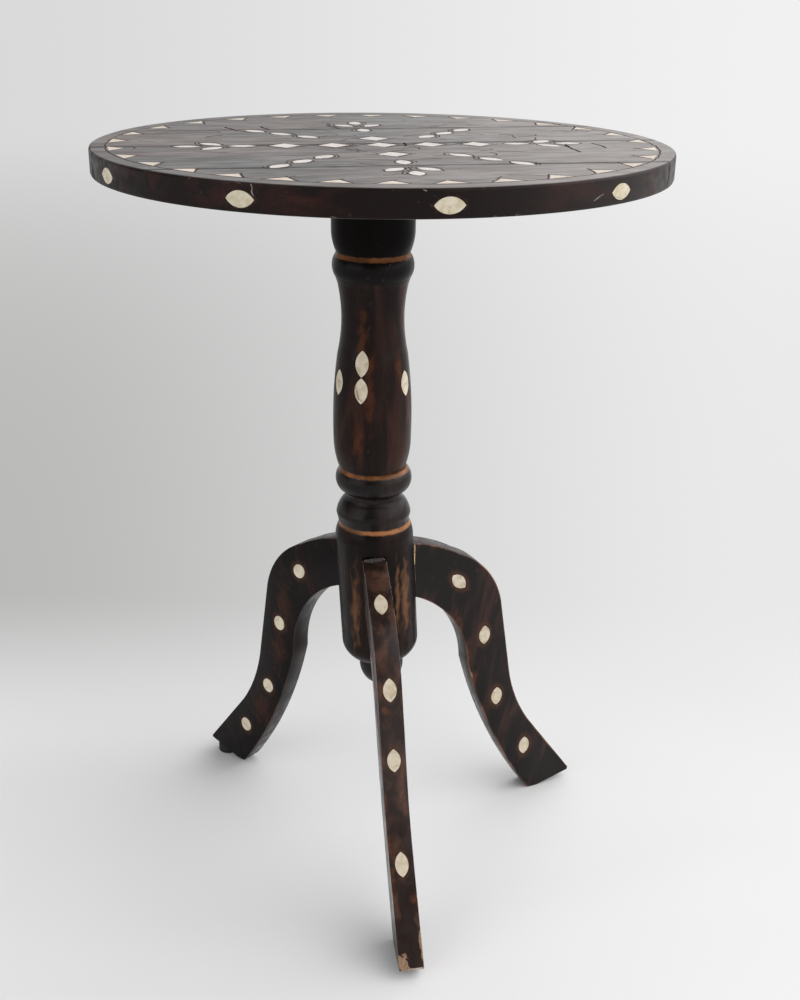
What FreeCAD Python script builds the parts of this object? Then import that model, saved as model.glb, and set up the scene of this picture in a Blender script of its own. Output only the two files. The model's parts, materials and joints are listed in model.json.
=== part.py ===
import FreeCAD, Part
import math
import os
import Sketcher

# Round side table with bone inlay: a plank top, a turned column and three sawn legs.
# Millimetres, +Z up. The origin is on the floor, under the centre of the round top.
# The front leg points towards -Y, and angles run from +X towards +Y.

SIZES = [
    ("top_radius", 210.0, "round top, axis to rim"),
    ("top_thickness", 18.4, "planks of the top"),
    ("rim_round", 1.6, "eased edges of the rim"),
    ("seam_back", 88.5, "glue line behind the centre"),
    ("seam_middle", -4.5, "glue line near the centre"),
    ("seam_front", -118.0, "glue line in front of the centre"),
    ("seam_turn", 10.8, "degrees that the planks are turned"),
    ("column_offset", 7.0, "column stands this far to -X of the centre of the top"),
    ("reel_shift", 1.3, "reel and drum stand this far to +X of the vase's axis"),
    ("drum_lean", 3.2, "degrees that the drum leans from the column"),
    ("drum_bottom_height", 173.5, "floor to the underside of the drum"),
    ("fit_gap", 0.15, "clearance round tenons, dowels and inlays"),
    ("tenon_end_gap", 0.5, "clearance past the end of a tenon or dowel"),
    ("cap_length", 61.25, "turned block under the top"),
    ("cap_radius", 31.8, "straight part of the cap"),
    ("cap_foot_radius", 28.0, "cap at the groove"),
    ("cap_curve_height", 16.0, "height of the rounded foot of the cap"),
    ("cap_curve_mid_radius", 30.7, "cap halfway up its rounded foot"),
    ("cap_tenon_radius", 13.0, "tenon into the top"),
    ("cap_tenon_length", 9.0, "tenon into the top"),
    ("tenon_radius", 10.0, "tenons between the turned pieces"),
    ("tenon_length", 15.0, "tenons between the turned pieces"),
    ("vase_length", 171.7, "vase, groove to groove"),
    ("vase_foot_radius", 26.4, "vase at its lower groove"),
    ("vase_foot_mid_radius", 29.4, "vase foot, halfway round"),
    ("vase_foot_mid_height", 10.8, "vase foot, halfway round"),
    ("vase_foot_height", 24.0, "height of the rounded foot of the vase"),
    ("vase_belly_low_radius", 30.75, "bottom of the belly"),
    ("vase_belly_radius", 31.0, "widest part of the belly"),
    ("vase_belly_height", 40.0, "widest part of the belly, from the foot"),
    ("vase_shoulder_radius", 30.3, "top of the belly"),
    ("vase_shoulder_height", 64.0, "top of the belly, from the foot"),
    ("vase_taper_mid_radius", 29.1, "taper, halfway up"),
    ("vase_taper_radius", 27.4, "where the taper turns into the neck"),
    ("vase_taper_height", 93.6, "where the taper turns into the neck, from the foot"),
    ("vase_neck_radius", 24.3, "neck"),
    ("vase_neck_height", 125.2, "neck, from the foot"),
    ("vase_flare_radius", 27.2, "top of the neck"),
    ("vase_flare_height", 148.7, "top of the neck, from the foot"),
    ("vase_bead_low_radius", 28.8, "underside of the head bead"),
    ("vase_bead_low_height", 153.4, "underside of the head bead, from the foot"),
    ("vase_bead_radius", 31.3, "crown of the head bead"),
    ("vase_bead_height", 162.2, "crown of the head bead, from the foot"),
    ("reel_length", 46.8, "reel, groove to groove"),
    ("reel_foot_radius", 28.2, "reel at its lower groove"),
    ("reel_lip_radius", 30.1, "lip of the lower bead"),
    ("reel_lip_height", 7.8, "lip of the lower bead, from the foot"),
    ("reel_flare_radius", 28.2, "flare from the hollow to the lip, halfway"),
    ("reel_flare_height", 14.25, "flare from the hollow to the lip, halfway, from the foot"),
    ("reel_neck_radius", 24.4, "where the hollow turns into the flare"),
    ("reel_neck_height", 19.8, "where the hollow turns into the flare, from the foot"),
    ("reel_hollow_radius", 23.1, "bottom of the hollow"),
    ("reel_hollow_height", 24.0, "bottom of the hollow, from the foot"),
    ("reel_edge_radius", 27.3, "upper edge of the hollow"),
    ("reel_edge_height", 28.8, "upper edge of the hollow, from the foot"),
    ("reel_high_bead_radius", 30.6, "crown of the upper bead"),
    ("reel_high_bead_height", 37.6, "crown of the upper bead, from the foot"),
    ("reel_spare", 3.0, "stock under the reel, trimmed to the lean of the drum"),
    ("drum_length", 124.5, "drum"),
    ("drum_radius", 31.8, "straight part of the drum"),
    ("drum_floor_radius", 18.6, "flat underside of the drum"),
    ("drum_curve_mid_radius", 28.6, "rounded bottom edge, halfway"),
    ("drum_curve_mid_height", 7.4, "rounded bottom edge, halfway, from the underside"),
    ("drum_curve_height", 18.5, "top of the rounded bottom edge"),
    ("drum_shoulder_drop", 11.5, "height of the rounded shoulder"),
    ("drum_shoulder_mid_radius", 30.8, "rounded shoulder, halfway"),
    ("knob_length", 26.0, "knob below the drum"),
    ("knob_head_radius", 17.4, "knob at the drum"),
    ("knob_radius", 18.3, "widest part of the knob"),
    ("knob_waist_radius", 15.6, "where the knob turns in"),
    ("knob_waist_height", 8.2, "where the knob turns in, from its tip"),
    ("knob_turn_radius", 11.0, "rounded tip, halfway"),
    ("knob_turn_height", 2.9, "rounded tip, halfway"),
    ("knob_tip_radius", 4.0, "flat tip"),
    ("knob_tenon_radius", 7.0, "tenon into the drum"),
    ("knob_tenon_length", 22.0, "tenon into the drum"),
    ("leg_thickness", 19.0, "board of the legs"),
    ("seat_depth", 3.0, "flat seat notched into the drum, at its middle"),
    ("seat_margin", 3.0, "seat left bare above and below a leg"),
    ("leg_root_drop", 23.5, "drum shoulder to the top of a leg"),
    ("leg_root_height", 48.5, "leg end on its seat"),
    ("leg_brow_mid_reach", 52.0, "top edge, halfway to the brow"),
    ("leg_brow_mid_drop", 6.5, "top edge, halfway to the brow"),
    ("leg_brow_reach", 75.0, "brow, where the top edge turns down"),
    ("leg_brow_drop", 18.0, "brow, below the top of the leg"),
    ("leg_knee_mid_reach", 103.5, "knee, halfway round"),
    ("leg_knee_mid_drop", 40.0, "knee, halfway round"),
    ("leg_knee_reach", 117.0, "bottom of the knee"),
    ("leg_knee_drop", 69.5, "bottom of the knee, below the top of the leg"),
    ("leg_shin_reach", 128.0, "bottom of the shin"),
    ("leg_shin_height", 137.0, "bottom of the shin, from the floor"),
    ("leg_instep_mid_reach", 137.0, "instep, halfway"),
    ("leg_instep_mid_height", 103.0, "instep, halfway"),
    ("leg_instep_reach", 154.0, "instep, where the toe runs straight"),
    ("leg_instep_height", 72.0, "instep, where the toe runs straight"),
    ("leg_heel_reach", 155.0, "heel"),
    ("leg_sole_length", 45.0, "heel to the tip of the toe"),
    ("leg_sole_flat", 10.0, "worn flat under the heel"),
    ("leg_toe_rise", 9.0, "tip of the toe above the heel"),
    ("leg_calf_mid_reach", 112.6, "back of the leg, halfway up"),
    ("leg_calf_mid_height", 74.0, "back of the leg, halfway up"),
    ("leg_hollow_reach", 86.0, "where the back of the leg turns to the drum"),
    ("leg_hollow_height", 148.0, "where the back of the leg turns to the drum"),
    ("leg_arch_mid_reach", 69.0, "arch under the leg, halfway"),
    ("leg_arch_mid_rise", 48.5, "arch under the leg, halfway, above the hollow"),
    ("front_leg_angle", -83.9, "degrees"),
    ("front_leg_offset", 2.5, "front leg is set off to the left of the point the legs run out from"),
    ("front_leg_lean", 2.75, "degrees that the front leg leans, its foot towards +X"),
    ("front_sole_spare", 0.9, "stock under the front foot, trimmed to the floor"),
    ("left_leg_angle", 140.0, "degrees"),
    ("left_leg_lift", 4.0, "left heel above the floor, made up by the pad"),
    ("left_arch_lift", 6.0, "arch under the left leg is sawn this much higher"),
    ("right_leg_angle", 24.0, "degrees"),
    ("dowel_radius", 4.0, "dowels of the leg joints"),
    ("dowel_length", 30.0, "dowels of the leg joints"),
    ("dowel_inset", 15.0, "dowels from the top and bottom of the leg end"),
    ("pad_radius", 9.5, "pad under the left foot"),
    ("pad_share", 0.6, "pad's place along the rising part of the sole"),
    ("inlay_depth", 2.4, "bone pieces, set flush"),
    ("lens_length", 19.2, "pointed oval on the edge of the front leg"),
    ("lens_width", 10.4, "pointed oval on the edge of the front leg"),
    ("side_lens_length", 18.0, "pointed oval on the side of the right leg"),
    ("side_lens_width", 10.6, "pointed oval on the side of the right leg"),
    ("side_lens_tilt", 42.0, "degrees, first oval on the right leg, its foot tipped outwards"),
    ("side_lens_lead", 7.0, "first oval on the side of a leg, out from mid-width"),
    ("pebble_length", 13.6, "round oval on the side of the left leg"),
    ("pebble_width", 12.2, "round oval on the side of the left leg"),
    ("rim_lens_length", 19.4, "pointed oval on the rim"),
    ("rim_lens_width", 10.3, "pointed oval on the rim"),
    ("rim_lens_drop", 1.0, "ovals on the rim, below mid-thickness"),
    ("rim_lens_crowding", 2.0, "degrees, the most that an oval is pushed round towards the first"),
    ("column_lens_length", 20.2, "pointed oval on the vase"),
    ("column_lens_width", 10.4, "pointed oval on the vase"),
    ("rim_lens_angle", -79.4, "degrees, the first oval on the rim"),
    ("rim_lens_count", 10, "ovals round the rim"),
    ("column_lens_count", 3, "times that the column pattern repeats"),
    ("column_pair_angle", -107.0, "degrees, the first pair on the vase"),
    ("column_pair_low", 70.6, "lower oval of a pair, from the foot of the vase"),
    ("column_pair_pitch", 20.8, "lower to upper oval of a pair"),
    ("column_single_angle", -31.0, "degrees, the first single oval on the vase"),
    ("column_single_height", 73.5, "single oval, from the foot of the vase"),
    ("pattern_x", -1.2, "centre of the star on the top"),
    ("pattern_y", -12.8, "centre of the star on the top"),
    ("pattern_turn", 9.0, "degrees that the star is turned"),
    ("diamond_length", 22.0, "diamond along the long arm"),
    ("diamond_width", 23.0, "diamond across the long arm"),
    ("diamond_pitch", 34.9, "diamonds along the long arm"),
    ("back_arm_reach", 37.0, "diamond on the arm to the back, from the star's centre"),
    ("front_arm_reach", 50.0, "diamond on the arm to the front, from the star's centre"),
    ("petal_length", 19.0, "petal of a sprig"),
    ("petal_width", 9.6, "petal of a sprig"),
    ("sprig_reach", 109.5, "heart of a sprig, from the star's centre"),
    ("sprig_inner_gap", 9.6, "heart to the inner petal, on the long arm"),
    ("sprig_stem_gap", 20.0, "heart to the inner petal, on the short arm"),
    ("sprig_side_gap", 16.5, "heart to a side petal"),
    ("sprig_splay", 43.0, "degrees, side petals from the arm"),
    ("sprig_outer_gap", 29.5, "heart to the outer petal"),
    ("top_lens_length", 19.5, "pointed oval of a diagonal"),
    ("top_lens_width", 10.0, "pointed oval of a diagonal"),
    ("diagonal_pitch", 26.6, "ovals along a diagonal"),
    ("diagonal_count", 3, "ovals along a diagonal"),
    ("right_back_angle", 48.2, "degrees, diagonal from the long arm"),
    ("right_back_first", 62.5, "first oval of the diagonal, from the star's centre"),
    ("left_back_angle", 133.8, "degrees, diagonal from the long arm"),
    ("left_back_first", 69.5, "first oval of the diagonal, from the star's centre"),
    ("left_front_angle", 230.7, "degrees, diagonal from the long arm"),
    ("left_front_first", 77.0, "first oval of the diagonal, from the star's centre"),
    ("right_front_angle", 308.1, "degrees, diagonal from the long arm"),
    ("right_front_first", 73.5, "first oval of the diagonal, from the star's centre"),
    ("border_y", -2.0, "centre of the border"),
    ("border_radius", 196.7, "base of the border triangles"),
    ("border_squeeze", 5.5, "border is this much flatter from front to back"),
    ("border_count", 30, "triangles round the border"),
    ("border_angle", -98.5, "degrees, the first triangle"),
    ("border_crowding", 3.2, "degrees, triangles pushed round towards the first"),
    ("border_pinching", 3.2, "degrees, triangles pushed round towards the first and its opposite"),
    ("triangle_base", 19.5, "border triangle along the rim"),
    ("triangle_height", 11.0, "border triangle towards the centre"),
]

LENS_DROPS = {"front": (17.4, 69.0, 126.0, 202.5),
              "left": (44.7, 103.8, 174.0, 228.0),
              "right": (43.5, 100.6, 165.8, 226.0)}
for side, drops in LENS_DROPS.items():
    for step, drop in enumerate(drops, 1):
        note = "oval %d on the %s leg, below the top of the leg" % (step, side)
        SIZES.append(("%s_lens_%d_drop" % (side, step), drop, note))

doc = FreeCAD.newDocument("inlaid_side_table")
sheet = doc.addObject("Spreadsheet::Sheet", "sizes")
for row, (alias, value, note) in enumerate(SIZES, 1):
    sheet.set("A%d" % row, note)
    sheet.set("B%d" % row, str(value))
    sheet.setAlias("B%d" % row, alias)
doc.recompute()

V = FreeCAD.Vector
UP = V(0, 0, 1)


class Size:
    """A length from the sheet, or a sum of such lengths: its expression and its present value."""

    def __init__(self, text, value):
        self.text = text
        self.value = value

    def __add__(self, other):
        return Size("%s + %s" % (self.text, other.text), self.value + other.value)

    def __sub__(self, other):
        return Size("%s - (%s)" % (self.text, other.text), self.value - other.value)

    def __mul__(self, factor):
        return Size("(%s) * %s" % (self.text, factor), self.value * factor)


def size(alias):
    return Size("sizes.%s" % alias, float(sheet.get(alias)))


def number(alias):
    return size(alias).value


ZERO = Size("0", 0.0)


def bind(target, **sizes):
    """Ties properties to the sheet. Two underscores stand for a dot in a property's name."""
    for name, value in sizes.items():
        target.setExpression(name.replace("__", "."), value.text)


def feature(name, shape):
    made = doc.addObject("Part::Feature", name)
    made.Shape = shape
    return made


def cut(name, base, tool):
    made = doc.addObject("Part::Cut", name)
    made.Base = base
    made.Tool = tool
    doc.recompute()
    return made


def common(name, base, tool):
    made = doc.addObject("Part::Common", name)
    made.Base = base
    made.Tool = tool
    doc.recompute()
    return made


# Outlines
# A corner is (x, z), and (x, z, mid_x, mid_z) where the stretch to the next corner is an arc
# through the middle point.


def pin(sketch, geometry, point, x, z):
    """Fixes one point of a sketch at lengths from the sheet."""
    for kind, axis, length in (("DistanceX", -2, x), ("DistanceY", -1, z)):
        if length is ZERO:
            sketch.addConstraint(Sketcher.Constraint("PointOnObject", geometry, point, axis))
        else:
            place = sketch.addConstraint(Sketcher.Constraint(kind, -1, 1, geometry, point, length.value))
            sketch.setExpression("Constraints[%d]" % place, length.text)


def outline(body, corners):
    sketch = body.newObject("Sketcher::SketchObject", body.Name + "_outline")
    plane = [origin for origin in body.Origin.OriginFeatures if origin.Role == "XZ_Plane"][0]
    sketch.AttachmentSupport = (plane, [""])
    sketch.MapMode = "FlatFace"
    ends = []
    for here, after in zip(corners, corners[1:] + corners[:1]):
        start = V(here[0].value, here[1].value, 0)
        end = V(after[0].value, after[1].value, 0)
        if len(here) == 4:
            middle = V(here[2].value, here[3].value, 0)
            edge = sketch.addGeometry(Part.Arc(start, middle, end))
            mark = sketch.addGeometry(Part.Point(middle), True)
            pin(sketch, mark, 1, here[2], here[3])
            sketch.addConstraint(Sketcher.Constraint("PointOnObject", mark, 1, edge))
        else:
            edge = sketch.addGeometry(Part.LineSegment(start, end))
        forward = (sketch.getPoint(edge, 1) - start).Length < (sketch.getPoint(edge, 2) - start).Length
        ends.append((edge, 1, 2) if forward else (edge, 2, 1))
        pin(sketch, edge, ends[-1][1], here[0], here[1])
    for (edge, _, last), (follower, first, _) in zip(ends, ends[1:] + ends[:1]):
        sketch.addConstraint(Sketcher.Constraint("Coincident", edge, last, follower, first))
    doc.recompute()
    return sketch


def turned(name, corners):
    """A lathe-turned piece, from the right half of its outline."""
    body = doc.addObject("PartDesign::Body", name)
    sketch = outline(body, corners)
    turning = body.newObject("PartDesign::Revolution", name + "_turning")
    turning.Profile = sketch
    turning.ReferenceAxis = (sketch, ["V_Axis"])
    turning.Angle = 360
    body.Tip = turning
    doc.recompute()
    return body


# Heights of the joints
joint_height = size("drum_bottom_height") + size("drum_length")
vase_height = joint_height + size("reel_length")
cap_height = vase_height + size("vase_length")
top_height = cap_height + size("cap_length")
surface_height = top_height + size("top_thickness")
leg_top_height = joint_height - size("leg_root_drop")
leg_root_bottom = leg_top_height - size("leg_root_height")
seat_reach = size("drum_radius") - size("seat_depth")
column_x = ZERO - size("column_offset")
reel_x = column_x + size("reel_shift")

# The legs run out from the vase's axis, carried down at the lean of the drum to half their ends' height
leg_axis_x = column_x.value + math.tan(math.radians(number("drum_lean"))) * (
    number("leg_root_drop") + number("leg_root_height") / 2)

LEANING = FreeCAD.Placement(V(reel_x.value, 0, joint_height.value),
                            FreeCAD.Rotation(V(0, -1, 0), number("drum_lean")))


def stand(body, height, x=column_x):
    """Sets a turned piece of the column at its height."""
    bind(body, Placement__Base__x=x, Placement__Base__z=height)


def lean(body, below):
    """Sets a turned piece in line with the leaning drum, below the joint with the reel."""
    drop = V(0, 0, -below.value)
    body.Placement = LEANING.multiply(FreeCAD.Placement(drop, FreeCAD.Rotation()))


def bore(name, radius, length, placement):
    """A socket cutter, from a joint's face along its own +Z."""
    tool = doc.addObject("Part::Cylinder", name)
    bind(tool, Radius=radius + size("fit_gap"), Height=length + size("tenon_end_gap"))
    tool.Placement = placement
    return tool


def upright(height, down=False):
    turn = FreeCAD.Rotation(V(1, 0, 0), 180 if down else 0)
    return FreeCAD.Placement(V(column_x.value, 0, height.value), turn)


# Turned column
tenon_radius = size("tenon_radius")
tenon_length = size("tenon_length")

cap_top = size("cap_length") + size("cap_tenon_length")
cap_body = turned("cap_body", [
    (ZERO, ZERO),
    (size("cap_foot_radius"), ZERO, size("cap_curve_mid_radius"), size("cap_curve_height") * 0.5),
    (size("cap_radius"), size("cap_curve_height")),
    (size("cap_radius"), size("cap_length")),
    (size("cap_tenon_radius"), size("cap_length")),
    (size("cap_tenon_radius"), cap_top),
    (ZERO, cap_top),
])
stand(cap_body, cap_height)
cap_socket = bore("cap_socket", tenon_radius, tenon_length, upright(cap_height))
column_cap = cut("column_cap", cap_body, cap_socket)

vase_foot = tenon_length
vase_head = vase_foot + size("vase_length")
vase_tip = vase_head + tenon_length


def vase_level(alias):
    return vase_foot + size(alias)


taper_middle = (size("vase_shoulder_height") + size("vase_taper_height")) * 0.5
vase_body = turned("vase_body", [
    (ZERO, ZERO),
    (tenon_radius, ZERO),
    (tenon_radius, vase_foot),
    (size("vase_foot_radius"), vase_foot,
     size("vase_foot_mid_radius"), vase_level("vase_foot_mid_height")),
    (size("vase_belly_low_radius"), vase_level("vase_foot_height"),
     size("vase_belly_radius"), vase_level("vase_belly_height")),
    (size("vase_shoulder_radius"), vase_level("vase_shoulder_height"),
     size("vase_taper_mid_radius"), vase_foot + taper_middle),
    (size("vase_taper_radius"), vase_level("vase_taper_height"),
     size("vase_neck_radius"), vase_level("vase_neck_height")),
    (size("vase_flare_radius"), vase_level("vase_flare_height")),
    (size("vase_bead_low_radius"), vase_level("vase_bead_low_height"),
     size("vase_bead_radius"), vase_level("vase_bead_height")),
    (size("cap_foot_radius"), vase_head),
    (tenon_radius, vase_head),
    (tenon_radius, vase_tip),
    (ZERO, vase_tip),
])
stand(vase_body, vase_height - tenon_length)

reel_spare = size("reel_spare")


def reel_level(alias):
    return reel_spare + size(alias)


reel_body = turned("reel_body", [
    (ZERO, ZERO),
    (size("reel_foot_radius"), ZERO),
    (size("reel_foot_radius"), reel_spare),
    (size("reel_lip_radius"), reel_level("reel_lip_height"),
     size("reel_flare_radius"), reel_level("reel_flare_height")),
    (size("reel_neck_radius"), reel_level("reel_neck_height"),
     size("reel_hollow_radius"), reel_level("reel_hollow_height")),
    (size("reel_edge_radius"), reel_level("reel_edge_height"),
     size("reel_high_bead_radius"), reel_level("reel_high_bead_height")),
    (size("vase_foot_radius"), reel_level("reel_length")),
    (ZERO, reel_level("reel_length")),
])
stand(reel_body, joint_height - reel_spare, reel_x)
trim = doc.addObject("Part::Cylinder", "reel_trim")
bind(trim, Radius=size("drum_radius") * 2, Height=size("drum_length"))
lean(trim, size("drum_length"))
reel_trimmed = cut("reel_trimmed", reel_body, trim)
vase_socket = bore("reel_vase_socket", tenon_radius, tenon_length, upright(vase_height, down=True))
reel_bored = cut("reel_bored", reel_trimmed, vase_socket)
column_reel = cut("column_reel", reel_bored, bore("reel_drum_socket", tenon_radius, tenon_length, LEANING))

drum_top = size("drum_length")
drum_tip = drum_top + tenon_length
shoulder_level = drum_top - size("drum_shoulder_drop")
drum_body = turned("drum_body", [
    (ZERO, ZERO),
    (size("drum_floor_radius"), ZERO, size("drum_curve_mid_radius"), size("drum_curve_mid_height")),
    (size("drum_radius"), size("drum_curve_height")),
    (size("drum_radius"), shoulder_level,
     size("drum_shoulder_mid_radius"), drum_top - size("drum_shoulder_drop") * 0.5),
    (size("reel_foot_radius"), drum_top),
    (tenon_radius, drum_top),
    (tenon_radius, drum_tip),
    (ZERO, drum_tip),
])
lean(drum_body, size("drum_length"))

knob_top = size("knob_length")
knob_tip = knob_top + size("knob_tenon_length")
knob_swell = (size("knob_waist_height") + knob_top) * 0.5
drop_knob = turned("drop_knob", [
    (ZERO, ZERO),
    (size("knob_tip_radius"), ZERO, size("knob_turn_radius"), size("knob_turn_height")),
    (size("knob_waist_radius"), size("knob_waist_height"), size("knob_radius"), knob_swell),
    (size("knob_head_radius"), knob_top),
    (size("knob_tenon_radius"), knob_top),
    (size("knob_tenon_radius"), knob_tip),
    (ZERO, knob_tip),
])
lean(drop_knob, size("drum_length") + size("knob_length"))

# Legs
# A leg is drawn in its own frame: +X runs out from the axis and the board is centred on Y.
LEGS = ("front", "left", "right")
LEG_OFFSETS = {"front": ZERO - size("front_leg_offset")}
LEG_LEANS = {"front": size("front_leg_lean")}
LEG_LIFTS = {"left": size("left_leg_lift"), "front": ZERO - size("front_sole_spare")}
ARCH_LIFTS = {"left": size("left_arch_lift")}
leg_toe_reach = size("leg_heel_reach") + size("leg_sole_length")


def leg_frame(side):
    """Turn of a leg about the drum, with its sideways offset and its lean about the middle of its root."""
    turn = FreeCAD.Rotation(UP, number(side + "_leg_angle"))
    shift = turn.multVec(V(0, LEG_OFFSETS.get(side, ZERO).value, 0))
    upright_frame = FreeCAD.Placement(V(leg_axis_x, 0, 0) + shift, turn)
    tip = FreeCAD.Rotation(V(1, 0, 0), LEG_LEANS.get(side, ZERO).value)
    root_middle = V(0, 0, (leg_top_height.value + leg_root_bottom.value) / 2)
    return upright_frame.multiply(FreeCAD.Placement(V(0, 0, 0), tip, root_middle))


def below(alias):
    """A height on the upper part of a leg."""
    return leg_top_height - size(alias)


def leg_board(side):
    lift = LEG_LIFTS.get(side, ZERO)
    arch_lift = ARCH_LIFTS.get(side, ZERO)
    body = doc.addObject("PartDesign::Body", side + "_leg_board")
    sketch = outline(body, [
        (seat_reach, leg_top_height, size("leg_brow_mid_reach"), below("leg_brow_mid_drop")),
        (size("leg_brow_reach"), below("leg_brow_drop"),
         size("leg_knee_mid_reach"), below("leg_knee_mid_drop")),
        (size("leg_knee_reach"), below("leg_knee_drop")),
        (size("leg_shin_reach"), size("leg_shin_height"),
         size("leg_instep_mid_reach"), size("leg_instep_mid_height")),
        (size("leg_instep_reach"), size("leg_instep_height")),
        (leg_toe_reach, lift + size("leg_toe_rise")),
        (size("leg_heel_reach") + size("leg_sole_flat"), lift),
        (size("leg_heel_reach"), lift,
         size("leg_calf_mid_reach"), size("leg_calf_mid_height")),
        (size("leg_hollow_reach"), size("leg_hollow_height"),
         size("leg_arch_mid_reach"), size("leg_hollow_height") + size("leg_arch_mid_rise") + arch_lift),
        (seat_reach, leg_root_bottom + arch_lift),
    ])
    board = body.newObject("PartDesign::Pad", side + "_leg_pad")
    board.Profile = sketch
    board.SideType = "Symmetric"
    bind(board, Length=size("leg_thickness"))
    body.Tip = board
    body.Placement = leg_frame(side)
    doc.recompute()
    return body


def trimmed(side, board):
    """Saws the sole of a leaning leg level with the floor."""
    under = doc.addObject("Part::Box", side + "_floor")
    bind(under, Length=leg_toe_reach * 2, Width=leg_toe_reach * 2, Height=size("leg_thickness"))
    bind(under, Placement__Base__x=ZERO - leg_toe_reach, Placement__Base__y=ZERO - leg_toe_reach * 2)
    bind(under, Placement__Base__z=ZERO - size("leg_thickness"))
    return cut(side + "_leg_trimmed", board, under)


def dowels(side, radius, spare):
    """The two dowels of a leg joint, along the leg's own X."""
    length = number("dowel_length") + 2 * spare
    made = []
    for height in (leg_top_height - size("dowel_inset"), leg_root_bottom + size("dowel_inset")):
        start = V(seat_reach.value - length / 2, 0, height.value)
        dowel = Part.makeCylinder(radius, length, start, V(1, 0, 0))
        made.append(dowel.transformed(leg_frame(side).toMatrix()))
    return made


def dowel_holes(side):
    return dowels(side, number("dowel_radius") + number("fit_gap"), number("tenon_end_gap"))


def seat_cutter(side):
    """Block as wide as a leg that notches the drum where the leg stands."""
    margin = number("seat_margin")
    width = number("leg_thickness")
    lift = ARCH_LIFTS.get(side, ZERO).value
    corner = V(seat_reach.value, -width / 2, leg_root_bottom.value + lift - margin)
    height = number("leg_root_height") - lift + 2 * margin
    block = Part.makeBox(number("drum_radius"), width, height, corner)
    return block.transformed(leg_frame(side).toMatrix())


boards = {side: leg_board(side) for side in LEGS}
for side in LEG_LEANS:
    boards[side] = trimmed(side, boards[side])
leg_joint_cutters = []
for side in LEGS:
    leg_joint_cutters.append(seat_cutter(side))
    leg_joint_cutters.extend(dowel_holes(side))
drum_seated = cut("drum_seated", drum_body, feature("leg_joints", Part.makeCompound(leg_joint_cutters)))
knob_tenon = (size("knob_tenon_radius"), size("knob_tenon_length"))
knob_socket = bore("knob_socket", *knob_tenon, drum_body.Placement)
column_drum = cut("column_drum", drum_seated, knob_socket)
all_dowels = [dowel for side in LEGS for dowel in dowels(side, number("dowel_radius"), 0.0)]
leg_dowels = feature("leg_dowels", Part.makeCompound(all_dowels))

pad_blank = doc.addObject("Part::Cylinder", "pad_blank")
bind(pad_blank, Radius=size("pad_radius"), Height=size("left_leg_lift") + size("leg_toe_rise"))
pad_lead = number("pad_share") * (number("leg_sole_length") - number("leg_sole_flat"))
pad_reach = number("leg_heel_reach") + number("leg_sole_flat") + pad_lead
pad_spot = FreeCAD.Placement(V(pad_reach, 0, 0), FreeCAD.Rotation())
pad_blank.Placement = leg_frame("left").multiply(pad_spot)
foot_pad = cut("foot_pad", pad_blank, boards["left"])

# Inlay
# A bone piece is a prism that stands in the wood to inlay_depth, trimmed flush by the wood's own
# surface. Its pocket is the same prism with fit_gap round it.


def pointed_oval(length, width):
    tip = V(length / 2, 0, 0)
    bulge = V(0, width / 2, 0)
    sides = [Part.Arc(-tip, bulge, tip), Part.Arc(tip, -bulge, -tip)]
    return Part.Face(Part.Wire([side.toShape() for side in sides]))


def pebble(length, width):
    """A plain oval, its length along X. The longer axis of an ellipse comes first."""
    oval = Part.Ellipse(V(0, 0, 0), max(length, width) / 2, min(length, width) / 2)
    if width > length:
        oval.rotate(FreeCAD.Placement(V(0, 0, 0), FreeCAD.Rotation(UP, 90)))
    return Part.Face(Part.Wire([oval.toShape()]))


def polygon(points):
    return Part.Face(Part.makePolygon(points + points[:1]))


def diamond(length, width):
    return polygon([V(length / 2, 0, 0), V(0, width / 2, 0), V(-length / 2, 0, 0), V(0, -width / 2, 0)])


def triangle(base, height):
    """Base along X, through the middle of the height."""
    return polygon([V(-base / 2, -height / 2, 0), V(base / 2, -height / 2, 0), V(0, height / 2, 0)])


def seat_frame(point, normal, along):
    """Frame on the floor of a pocket: Z out of the wood and X along the piece."""
    across = normal.cross(along).normalize()
    turn = FreeCAD.Rotation(along, across, normal, "ZXY")
    return FreeCAD.Placement(point - normal * number("inlay_depth"), turn)


def prisms(shape, length, width, frames, gap):
    """The same prism at each frame, grown by gap, reaching out past the wood."""
    face = shape(length + 2 * gap, width + 2 * gap)
    prism = face.extrude(V(0, 0, 2 * number("inlay_depth")))
    return [prism.transformed(frame.toMatrix()) for frame in frames]


class Inlay:
    """A set of bone pieces of one size, and the frames that they stand on."""

    def __init__(self, name, shape, length, width):
        self.name = name
        self.shape = shape
        self.length = length
        self.width = width
        self.frames = []

    def pieces(self):
        return prisms(self.shape, self.length, self.width, self.frames, 0.0)

    def pockets(self):
        return prisms(self.shape, self.length, self.width, self.frames, number("fit_gap"))


def inlaid(name, base, inlays):
    """Cuts the pockets of some inlays into a base."""
    pockets = [pocket for inlay in inlays for pocket in inlay.pockets()]
    return cut(name, base, feature(name + "_pockets", Part.makeCompound(pockets)))


def bone(name, base, inlays):
    """The bone pieces themselves, flush with the base."""
    pieces = [piece for inlay in inlays for piece in inlay.pieces()]
    return common(name, base, feature(name + "_prisms", Part.makeCompound(pieces)))


def turned_about(degrees):
    angle = math.radians(degrees)
    return V(math.cos(angle), math.sin(angle), 0)


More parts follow.
